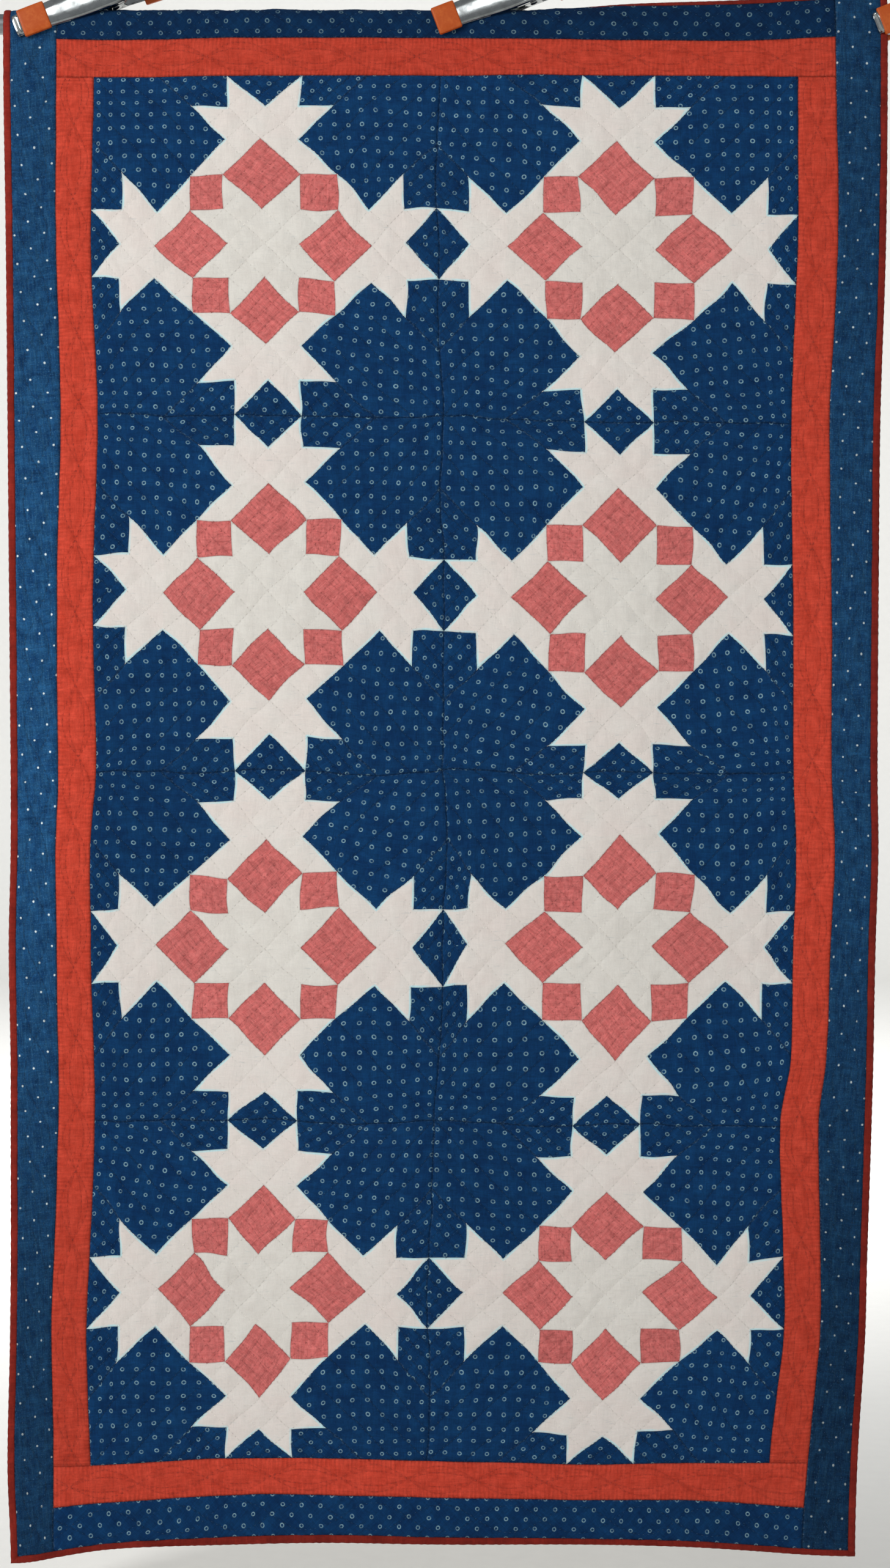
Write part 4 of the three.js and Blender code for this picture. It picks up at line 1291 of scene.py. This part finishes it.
class QUILT_OT_backing(bpy.types.Operator):
    """Make the plain muslin back"""

    bl_idname = "quilt.backing"
    bl_label = "Backing"

    def execute(self, context):
        sides, ends, cells = BACKING_CELLS["sides"], BACKING_CELLS["ends"], BACKING_CELLS["block"]
        across = [INNER_RIGHT, BLOCKS_RIGHT, BLOCKS_LEFT, BINDING_WIDTH]
        down = [BINDING_WIDTH, BLOCKS_TOP, BLOCKS_BOTTOM, INNER_BOTTOM]
        us = lines_through(across, [sides, cells * BLOCK_COLUMNS, sides])
        vs = lines_through(down, [ends, cells * BLOCK_ROWS, ends])
        u, v = np.meshgrid(us, vs)
        puff = BACKING_PUFF * (1 - np.exp(-quilting(u, v) / PUFF_REACH))
        for height, lump in zip(BACKING_LUMPS, LUMPS):
            puff = puff + height * lump[0](u, v)
        points, cut = panel_points(u, v, BACKING_LEVEL - puff * pressed(u, v), BACKING_FRONT)
        middle_u, middle_v = np.meshgrid((us[1:] + us[:-1]) / 2, (vs[1:] + vs[:-1]) / 2)
        falling = quilting(middle_u + BACKING_LOOK, middle_v + BACKING_LOOK)
        rising = quilting(middle_u + BACKING_LOOK, middle_v - BACKING_LOOK)
        triangles = np.concatenate(panel_faces(len(vs) - 1, len(us) - 1, falling < rising))
        piece = mesh_object("muslin_backing", points, triangles, [cotton("backing")])
        add_uv(piece.data, "cloth", cut[triangles])
        add_numbers(piece.data, "seam", UNSEAMED)
        add_numbers(piece.data, "dye", UNSEAMED)
        half_size = (BLOCK_COLUMNS * BLOCK / 2 + 1, BLOCK_ROWS * BLOCK / 2 + 1)
        in_blocks = (np.abs(cut - (CUT_WIDTH / 2, CUT_LENGTH / 2)) < half_size).all(axis=1)
        add_numbers(piece.data, "stitches", np.where(in_blocks, quilting(*cut.T), UNSEAMED))
        settle(piece, "patchwork")
        return {"FINISHED"}


# How high a stitch lies over the face, in millimetres, and how unevenly long the stitches are
STITCH_LIFT = 0.3
STITCH_SEED = 5
STITCH_UNEVEN = (0.85, 1.15)
# A stitch is kept this near to a line of quilting and this far inside the binding, in millimetres,
# and where the clamps leave the cloth at least this share of its height
STITCH_NEAR = 0.5
STITCH_INSET = 2.0
STITCH_FREE = 0.6
# In the block's units: how far the first stitch is moved along, and the block's edge without any
STITCH_START = 0.03
STITCH_MARGIN = 0.04


def stitch_courses(pitch):
    """Every place of the cut quilt where a quilting stitch may lie, and the way that it runs."""
    places = []
    half = UNITS / 2
    along = np.arange(-half, half, pitch / UNIT / math.sqrt(2)) + STITCH_START
    for row in range(BLOCK_ROWS):
        for column in range(BLOCK_COLUMNS):
            middle = BLOCKS_LEFT + (column + 0.5) * BLOCK, BLOCKS_TOP + (row + 0.5) * BLOCK
            for across in np.arange(-UNITS + 0.5, UNITS, 0.5):
                for way in (1, -1):
                    x, y = along + across / 2, way * (along - across / 2)
                    inside = (np.abs(x) < half - STITCH_MARGIN) & (np.abs(y) < half - STITCH_MARGIN)
                    x, y = x[inside], y[inside]
                    ones = np.ones(len(x))
                    place = [middle[0] + x * UNIT, middle[1] + y * UNIT, ones, way * ones]
                    places.append(np.stack(place, -1))
    for turned, (length, width) in enumerate(((CUT_LENGTH, CUT_WIDTH), (CUT_WIDTH, CUT_LENGTH))):
        run = np.arange(pitch, length - pitch, pitch)
        turn = math.pi * run / CABLE_HALF_LENGTH
        for *middles, spreads in CABLE_STRIPS:
            for reach in (spread * way for spread in spreads for way in (-1, 1)):
                across = middles[turned] + reach * np.sin(turn)
                slope = reach * math.pi / CABLE_HALF_LENGTH * np.cos(turn)
                for near, lean in ((across, slope), (width - across, -slope)):
                    course = np.stack([near, run, lean, np.ones(len(run))], -1)
                    places.append(course[:, [1, 0, 3, 2]] if turned else course)
    return np.concatenate(places)


def named_tree(name, sockets, result):
    """A tree of geometry nodes, and its inputs by name. Its result is geometry."""
    tree = bpy.data.node_groups.new(name, "GeometryNodeTree")
    for socket, kind in sockets:
        tree.interface.new_socket(socket, in_out="INPUT", socket_type=f"NodeSocket{kind}")
    tree.interface.new_socket(result, in_out="OUTPUT", socket_type="NodeSocketGeometry")
    return tree, add_node(tree, "NodeGroupInput").outputs


def end_tree(tree, geometry, material):
    """End a tree with its instances made real and its material set."""
    real = add_node(tree, "GeometryNodeRealizeInstances", {"Geometry": geometry})
    finish = add_node(tree, "GeometryNodeSetMaterial", {"Geometry": real, "Material": material})
    add_node(tree, "NodeGroupOutput", {0: finish})


def kept_mesh(name, guide, tree, sizes):
    """A plain mesh object of what a guide and a tree of geometry nodes make. sizes are the values
    of the tree's named inputs."""
    modifier = guide.modifiers.new(name, "NODES")
    modifier.node_group = tree
    for item in tree.interface.items_tree:
        if item.in_out == "INPUT" and item.name in sizes:
            modifier[item.identifier] = sizes[item.name]
    bpy.context.view_layer.update()
    evaluated = guide.evaluated_get(bpy.context.evaluated_depsgraph_get())
    mesh = bpy.data.meshes.new_from_object(evaluated)
    mesh.name = name
    bpy.data.objects.remove(guide)
    mesh.polygons.foreach_set("use_smooth", np.ones(len(mesh.polygons), bool))
    made = bpy.data.objects.new(name, mesh)
    bpy.context.scene.collection.objects.link(made)
    return made


def stitch_tree():
    """Geometry nodes that lay a stitch, round and pointed like a grain of rice, on each point."""
    sockets = [("Places", "Geometry"), ("Stitch length", "Float"), ("Stitch width", "Float")]
    tree, given = named_tree("quilting stitches", [*sockets, ("Thread", "Material")], "Stitches")
    grain = add_node(tree, "GeometryNodeMeshUVSphere", {"Segments": 4, "Rings": 2, "Radius": 0.5})
    width = given["Stitch width"]
    size = add_node(tree, "CombineXYZ", {"X": width, "Y": width, "Z": given["Stitch length"]})
    shape = add_node(tree, "GeometryNodeTransform", {"Geometry": grain, "Scale": size})
    way = add_node(tree, "GeometryNodeInputNamedAttribute", {"Name": "way"}, data_type="FLOAT_VECTOR")
    turn = add_node(tree, "FunctionNodeAlignRotationToVector", {"Vector": way})
    chance = {2: STITCH_UNEVEN[0], 3: STITCH_UNEVEN[1], "Seed": STITCH_SEED}
    uneven = add_node(tree, "FunctionNodeRandomValue", chance, data_type="FLOAT")
    stitch = {"Points": given["Places"], "Instance": shape, "Rotation": turn, "Scale": uneven.outputs[1]}
    end_tree(tree, add_node(tree, "GeometryNodeInstanceOnPoints", stitch), given["Thread"])
    return tree


THREADS = [
    ("pale", "thread", "patchwork"),
    ("pink", "thread_pink", "patchwork"),
    ("blue", "thread_indigo", "patchwork"),
    ("red", "thread_red", "red_cotton"),
]


class QUILT_OT_stitches(bpy.types.Operator):
    """Lay the quilting stitches along the furrows of the face"""

    bl_idname = "quilt.stitches"
    bl_label = "Stitches"

    def execute(self, context):
        settings = context.scene.star_quilt
        courses = stitch_courses(settings.stitch_pitch / MM)
        u, v = courses[:, 0], courses[:, 1]
        side, end = np.minimum(u, CUT_WIDTH - u), np.minimum(v, CUT_LENGTH - v)
        kept = (quilting(u, v) < STITCH_NEAR) & (pressed(u, v) > STITCH_FREE)
        kept &= np.minimum(side, end) > BINDING_WIDTH + STITCH_INSET
        courses, side, end = courses[kept], side[kept], end[kept]
        u, v = courses[:, 0], courses[:, 1]
        away = np.full(u.shape, UNSEAMED)
        height = face_height(u, v, away, away) + STITCH_LIFT
        points = laid_out(u, v, height)
        way = laid_out(u + courses[:, 2], v + courses[:, 3], height) - points
        in_block = (side > BLOCKS_LEFT) & (end > BLOCKS_TOP)
        kind = patch_kind(*block_place(u, v))
        pale, pink = in_block & (kind == WHITE), in_block & (kind == PINK)
        red = ~in_block & (side > RED_LEFT) & (end > RED_TOP)
        chosen = {"pale": pale, "pink": pink, "red": red, "blue": ~pale & ~pink & ~red}
        tree = stitch_tree()
        for name, colour, slot in THREADS:
            mesh = bpy.data.meshes.new(f"{name}_places")
            mesh.vertices.add(np.count_nonzero(chosen[name]))
            mesh.vertices.foreach_set("co", points[chosen[name]].astype(np.float32).ravel())
            ways = mesh.attributes.new("way", "FLOAT_VECTOR", "POINT")
            ways.data.foreach_set("vector", way[chosen[name]].astype(np.float32).ravel())
            guide = bpy.data.objects.new(f"{name}_places", mesh)
            context.scene.collection.objects.link(guide)
            thread = cotton_thread(f"{name} cotton thread", dyed(colour))
            sizes = {"Stitch length": settings.stitch_length, "Stitch width": settings.stitch_width}
            sizes["Thread"] = thread
            made = kept_mesh(f"stitches_{name}", guide, tree, sizes)
            settle(made, slot)
        return {"FINISHED"}


# The rod in millimetres: a tube whose bore is open at each end to the depth of a recess
ROD_HALF_LENGTH = 545.0
ROD_WALL = 1.2
ROD_RECESS = 30.0
ROD_CHAMFER = 0.4
ROD_SIDES = 96
ROD_RINGS = 25
ROD_END = 20.0


def outward(name, points, triangles, material):
    """A mesh object whose faces are turned to point outwards."""
    made = mesh_object(name, points, triangles, [material])
    shell = bmesh.new()
    shell.from_mesh(made.data)
    bmesh.ops.recalc_face_normals(shell, faces=shell.faces)
    shell.to_mesh(made.data)
    shell.free()
    return made


def turned_shell(rings):
    """Points and triangles that join rings, whose first and last have shrunk to points."""
    body = rings[1:-1]
    grid, triangles = tube(len(body), len(body[0]))
    for pole, ring in ((grid.size, grid[0]), (grid.size + 1, grid[-1])):
        cap = np.stack([np.full(len(ring), pole), ring, np.roll(ring, -1)], -1)
        triangles = np.concatenate([triangles, cap])
    return np.concatenate([*body, rings[0][:1], rings[-1][:1]]), triangles


class QUILT_OT_rod(bpy.types.Operator):
    """Make the steel tube that the quilt hangs over"""

    bl_idname = "quilt.rod"
    bl_label = "Rod"

    def execute(self, context):
        outer, inner = ROD_RADIUS, ROD_RADIUS - ROD_WALL
        end = ROD_HALF_LENGTH
        half = [
            (0.0, end - ROD_RECESS), (inner, end - ROD_RECESS), (inner, end - ROD_CHAMFER),
            (inner + ROD_CHAMFER, end), (outer - ROD_CHAMFER, end), (outer, end - ROD_CHAMFER),
        ]
        middle = [(outer, x) for x in np.linspace(end - ROD_END, -end + ROD_END, ROD_RINGS)]
        turns = np.linspace(0, 2 * math.pi, ROD_SIDES, endpoint=False)
        rings = []
        for radius, x in half + middle + [(radius, -x) for radius, x in reversed(half)]:
            ring = [np.full(ROD_SIDES, x), radius * np.cos(turns), radius * np.sin(turns)]
            rings.append(np.stack(ring, -1) * MM)
        steel = brushed_steel("drawn steel tube", "#8F9193", 0.36, (9.0, 700.0, 700.0))
        settle(outward("steel_tube", *turned_shell(rings), steel), "rod_steel", "rod")
        return {"FINISHED"}


# The section of an arm: the radius of its turned edges, its crown, and its top above its rims' root
SECTION = {"round": 3.0, "crown": 1.1, "top": 1.0}
ARM_ROUND_END = 2.2
ARM_STATIONS = 64
# The outline of an ear: how far its root reaches past its ends and lies from the pivot's level, and
# the radius and the level of its round end
EAR_OUTLINE = {"past": 3.0, "root": 16.5, "radius": 8.5, "level": 2.0}
# A vinyl sleeve: its rounded edge, how thick it is and how far it stands past the steel, its swell
# along and across, and how square its section is in each direction
SLEEVE = {"edge": 1.6, "thick": 3.3, "past": 2.3, "swell": 0.35, "crown": 0.66}
SLEEVE_SQUARE = {"across": 0.28, "out": 0.504}
SLEEVE_SIDES = 40
SLEEVE_STATIONS = 14
# Radius of the pin's head by how far it stands out
PIN_HEAD = [(0, 1.6), (1.4, 1.55), (2.6, 1.3), (3.7, 0.8), (4.3, 0.3), (4.4, 0.05), (3, 0)]
PIN_SIDES = 28
FACING = {"front": 1, "back": -1}


def clamp_place(clamp, along, depth, across):
    """A point of a clamp in metres. depth is in front of its pivot, and across is up its width."""
    x, z = np.add(CLAMPS[clamp], CLAMP_SHIFTS[clamp])
    cos, sin = math.cos(CLAMP_SLANT), math.sin(CLAMP_SLANT)
    place = [x + along * cos - across * sin, PIVOT_DEPTH - depth, z + along * sin + across * cos]
    return np.stack(place, -1) * MM


def fan(ring):
    """Triangles that close a ring of points from its first one."""
    return np.stack([np.full(len(ring) - 2, ring[0]), ring[1:-1], ring[2:]], -1)


def arm_shell(count, ring):
    """Triangles that join an arm's sections. The first half of a section faces its second half, so
    the arm's ends are closed between the two."""
    grid, triangles = tube(count, ring)
    for end, turn in ((grid[0], 1), (grid[-1], -1)):
        outer, inner = end[: ring // 2], end[::-1][: ring // 2]
        quads = (outer[:-1], inner[:-1], inner[1:], outer[1:])
        triangles = np.concatenate([triangles, split(*quads[::turn])])
    return triangles


def arm_section(half_width, rim):
    """The section of a pressed steel arm: a crowned strip with its long edges turned in."""
    across, height = [], []
    for inset in (0.0, STEEL):
        radius = SECTION["round"] - inset
        width = half_width - inset
        top = SECTION["top"] - inset
        side = [(-width, -rim), (-width, top - radius)]
        for angle in np.linspace(0, math.pi / 2, 5)[1:]:
            side.append((-width + radius * (1 - math.cos(angle)), top - radius * (1 - math.sin(angle))))
        flat = [(x, top) for x in np.linspace(-width + radius, width - radius, 9)[1:-1]]
        whole = side + flat + [(-x, h) for x, h in reversed(side)]
        crowned = [(x, h + SECTION["crown"] * (1 - (x / half_width) ** 4)) for x, h in whole]
        if inset:
            crowned.reverse()
        across += [x for x, h in crowned]
        height += [h for x, h in crowned]
    return np.array(across), np.array(height)


def arm_mesh(clamp, side):
    """Points and triangles of one pressed arm with its two ears."""
    width_at = smooth_line(ARM_WIDTHS["along"], ARM_WIDTHS["half"])
    depth_at = smooth_line(ARM_DEPTHS["along"], ARM_DEPTHS["depth"])
    rim_at = smooth_line(ARM_RIMS["along"], ARM_RIMS["rim"])
    tip, vinyl = STEEL_TIPS[clamp], VINYL_TIPS[clamp][0]
    facing = FACING[side]
    rounded = tip + ARM_ROUND_END * (1 - np.cos(np.linspace(0, math.pi / 2, 7)))
    straight = np.linspace(tip + ARM_ROUND_END, ARM_END, ARM_STATIONS)
    stations = np.unique(np.concatenate([rounded, straight]))
    points = []
    for along in stations:
        left_over = max(tip + ARM_ROUND_END - along, 0)
        half = float(width_at(along)) - ARM_ROUND_END + math.sqrt(max(ARM_ROUND_END**2 - left_over**2, 0))
        if side == "back":
            half -= BACK_SLIM["by"] * smooth_step(along, BACK_SLIM["from"], BACK_SLIM["to"])
        nose = -NOSE["slope"] * max(vinyl - along, 0)
        if tip < 0:
            nose += NOSE["height"] * (1 - smooth_step(along, vinyl, vinyl + NOSE["length"]))
        across, height = arm_section(half, float(rim_at(along)))
        depth = float(depth_at(along)) + height - SECTION["top"] + nose
        points.append(clamp_place(clamp, np.full(len(across), along), facing * depth, across))
    triangles = arm_shell(len(stations), len(points[0]))[:, ::facing]
    points = [np.concatenate(points)]
    start = len(points[0])
    ring = ear_outline()
    (low, high), ear = tube(2, len(ring))
    ear = np.concatenate([ear, fan(low)[:, ::-1], fan(high)])
    for turn in (-1, 1):
        outside = EAR["outside"][side]
        for layer in (outside - EAR["thickness"], outside):
            level = np.full(len(ring), turn * layer)
            points.append(clamp_place(clamp, ring[:, 0], facing * ring[:, 1], level))
        triangles = np.concatenate([triangles, start + ear[:, :: turn * facing]])
        start += 2 * len(ring)
    return np.concatenate(points), triangles


def ear_outline():
    """An ear seen from its side: wide where it leaves the arm, and round about the pivot pin."""
    past, root, radius = EAR_OUTLINE["past"], EAR_OUTLINE["root"], EAR_OUTLINE["radius"]
    ring = [(EAR["from"] - past, root), (EAR["to"] + past, root)]
    for angle in np.radians(np.linspace(-16, -165, 13)):
        ring.append((PIVOT_ALONG + radius * math.cos(angle), EAR_OUTLINE["level"] + radius * math.sin(angle)))
    return np.array(ring)


def sleeve_mesh(clamp, side, start, end, half_width=None):
    """Points and triangles of a vinyl sleeve with rounded edges over a stretch of an arm."""
    width_at = smooth_line(ARM_WIDTHS["along"], ARM_WIDTHS["half"])
    depth_at = smooth_line(ARM_DEPTHS["along"], ARM_DEPTHS["depth"])
    edge, facing = SLEEVE["edge"], FACING[side]
    rise = np.linspace(0, math.pi / 2, 5)
    head = start + edge * (1 - np.cos(rise))
    tail = end - edge * (1 - np.cos(rise[::-1]))
    body = np.linspace(start + edge, end - edge, SLEEVE_STATIONS)[1:-1]
    stations = np.concatenate([head, body, tail])
    shrink = np.concatenate([edge * (1 - np.sin(rise)), 0 * body, edge * (1 - np.sin(rise[::-1]))])
    angles = np.linspace(0, 2 * math.pi, SLEEVE_SIDES, endpoint=False) + math.pi / SLEEVE_SIDES
    cos, sin = np.cos(angles), np.sin(angles)
    points = []
    for along, less in zip(stations, shrink):
        half = (half_width or float(width_at(along)) + SLEEVE["past"]) - less
        across = half * np.sign(cos) * np.abs(cos) ** SLEEVE_SQUARE["across"]
        out = (SLEEVE["thick"] - less) * np.sign(sin) * np.abs(sin) ** SLEEVE_SQUARE["out"]
        swell = SLEEVE["swell"] * math.sin(math.pi * (along - start) / (end - start))
        out = out + (swell + SLEEVE["crown"] * (1 - (across / half) ** 2)) * (out > 0)
        depth = facing * (float(depth_at(along)) + out)
        points.append(clamp_place(clamp, np.full(SLEEVE_SIDES, along), depth, across))
    grid, triangles = tube(len(points), SLEEVE_SIDES)
    triangles = np.concatenate([triangles[:, ::-1], fan(grid[0]), fan(grid[-1])[:, ::-1]])
    return np.concatenate(points), triangles[:, ::facing]


def pin_mesh(clamp):
    """Points and triangles of a pivot pin with rounded heads."""
    reach = EAR["outside"]["front"]
    profile = [(radius, -reach - proud) for radius, proud in PIN_HEAD]
    profile += [(radius, reach + proud) for radius, proud in reversed(PIN_HEAD)]
    turns = np.linspace(0, 2 * math.pi, PIN_SIDES, endpoint=False)
    rings = []
    for radius, level in profile:
        along, depth = PIVOT_ALONG + radius * np.cos(turns), radius * np.sin(turns)
        rings.append(clamp_place(clamp, along, depth, np.full(PIN_SIDES, level)))
    return turned_shell(rings)


# The spring's wire, coil and legs. Lengths are in millimetres.
WIRE_SIDES = 10
COIL_RADIUS = 6.6
COIL_START = math.radians(130)
COIL_TURNS = 5 + 100 / 360
COIL_PARTS = 20
COIL_HALF_LENGTH = 9.5
LEG_REACH = (3.0, 21.0)
LEG_PARTS = 6


def wire_tree():
    """Geometry nodes that sweep round wire along a path."""
    sockets = [("Path", "Geometry"), ("Wire radius", "Float"), ("Sides", "Int"), ("Finish", "Material")]
    tree, given = named_tree("round wire", sockets, "Wire")
    size = {"Resolution": given["Sides"], "Radius": given["Wire radius"]}
    ring = add_node(tree, "GeometryNodeCurvePrimitiveCircle", size)
    inputs = {"Curve": given["Path"], "Profile Curve": ring, "Fill Caps": True}
    end_tree(tree, add_node(tree, "GeometryNodeCurveToMesh", inputs), given["Finish"])
    return tree


def swept_wire(name, path, tree, material):
    """Wire along a path of points, made by the wire's geometry nodes and then kept as a mesh."""
    curve = bpy.data.curves.new(f"{name}_path", "CURVE")
    curve.dimensions = "3D"
    spline = curve.splines.new("POLY")
    spline.points.add(len(path) - 1)
    spline.points.foreach_set("co", np.column_stack([path, np.ones(len(path))]).ravel())
    guide = bpy.data.objects.new(f"{name}_path", curve)
    bpy.context.scene.collection.objects.link(guide)
    radius = bpy.context.scene.star_quilt.wire / 2
    sizes = {"Wire radius": radius, "Sides": WIRE_SIDES, "Finish": material}
    return kept_mesh(name, guide, tree, sizes)


def spring_path(clamp):
    """The path of a torsion spring: a coil round the pin and a leg against each arm."""
    turns = np.linspace(0, 2 * math.pi * COIL_TURNS, int(COIL_TURNS * COIL_PARTS) + 1)
    along = PIVOT_ALONG + COIL_RADIUS * np.cos(COIL_START + turns)
    depth = COIL_RADIUS * np.sin(COIL_START + turns)
    across = np.linspace(-COIL_HALF_LENGTH, COIL_HALF_LENGTH, len(turns))
    ends = []
    for index, way in ((0, -1), (-1, 1)):
        angle = COIL_START + turns[index]
        tangent = np.array([-math.sin(angle), math.cos(angle)]) * way
        reach = (along[index], depth[index]) + np.outer(np.linspace(*LEG_REACH, LEG_PARTS), tangent)
        leg = np.column_stack([reach, np.full(LEG_PARTS, across[index])])
        ends.append(leg[::-1] if index == 0 else leg)
    coil = np.column_stack([along, depth, across])
    whole = np.concatenate([ends[0], coil, ends[1]])
    return clamp_place(clamp, *whole.T)


class QUILT_OT_clamps(bpy.types.Operator):
    """Make the three spring clamps of pressed steel with vinyl tips and grips"""

    bl_idname = "quilt.clamps"
    bl_label = "Clamps"

    def execute(self, context):
        chrome = polished_steel("chrome plated steel", "#969A9A")
        vinyl = dipped_vinyl("orange dipped vinyl")
        tree = wire_tree()
        for clamp in CLAMPS:
            for side in ("front", "back"):
                start = GRIP_START + (BACK_GRIP_LATER if side == "back" else 0)
                arm = arm_mesh(clamp, side)
                tip = sleeve_mesh(clamp, side, *VINYL_TIPS[clamp], half_width=PAD_HALF_WIDTH)
                grip = sleeve_mesh(clamp, side, start, ARM_END + SLEEVE["past"])
                arm = outward(f"pressed_arm_{clamp}_{side}", *arm, chrome)
                tip = outward(f"vinyl_tip_{clamp}_{side}", *tip, vinyl)
                grip = outward(f"vinyl_grip_{clamp}_{side}", *grip, vinyl)
                settle(arm, "clamp_steel", f"clamp_{clamp}_arm_{side}")
                settle(tip, "vinyl", f"clamp_{clamp}_pad_{side}")
                settle(grip, "vinyl", f"clamp_{clamp}_grip_{side}")
            pin = outward(f"pivot_pin_{clamp}", *pin_mesh(clamp), chrome)
            settle(pin, "clamp_steel", f"clamp_{clamp}_pin")
            spring = swept_wire(f"coil_spring_{clamp}", spring_path(clamp), tree, chrome)
            settle(spring, "clamp_steel", f"clamp_{clamp}_spring")
        return {"FINISHED"}


class QUILT_PT_panel(bpy.types.Panel):
    """Buttons that build the quilt and its stage"""

    bl_label = "Star quilt"
    bl_idname = "QUILT_PT_panel"
    bl_space_type = "VIEW_3D"
    bl_region_type = "UI"
    bl_category = "Quilt"

    def draw(self, context):
        settings = context.scene.star_quilt
        for name in QuiltSettings.__annotations__:
            self.layout.prop(settings, name)
        for operator in STEPS:
            self.layout.operator(operator.bl_idname)


STEPS = [
    QUILT_OT_stage,
    QUILT_OT_blocks,
    QUILT_OT_borders,
    QUILT_OT_binding,
    QUILT_OT_stitches,
    QUILT_OT_backing,
    QUILT_OT_rod,
    QUILT_OT_clamps,
]
CLASSES = [QuiltSettings, *STEPS, QUILT_PT_panel]


def register():
    for made in CLASSES:
        bpy.utils.register_class(made)
    bpy.types.Scene.star_quilt = PointerProperty(type=QuiltSettings)


def unregister():
    del bpy.types.Scene.star_quilt
    for made in reversed(CLASSES):
        bpy.utils.unregister_class(made)


def main():
    register()
    for operator in STEPS:
        family, name = operator.bl_idname.split(".")
        getattr(getattr(bpy.ops, family), name)()


if __name__ == "__main__":
    main()
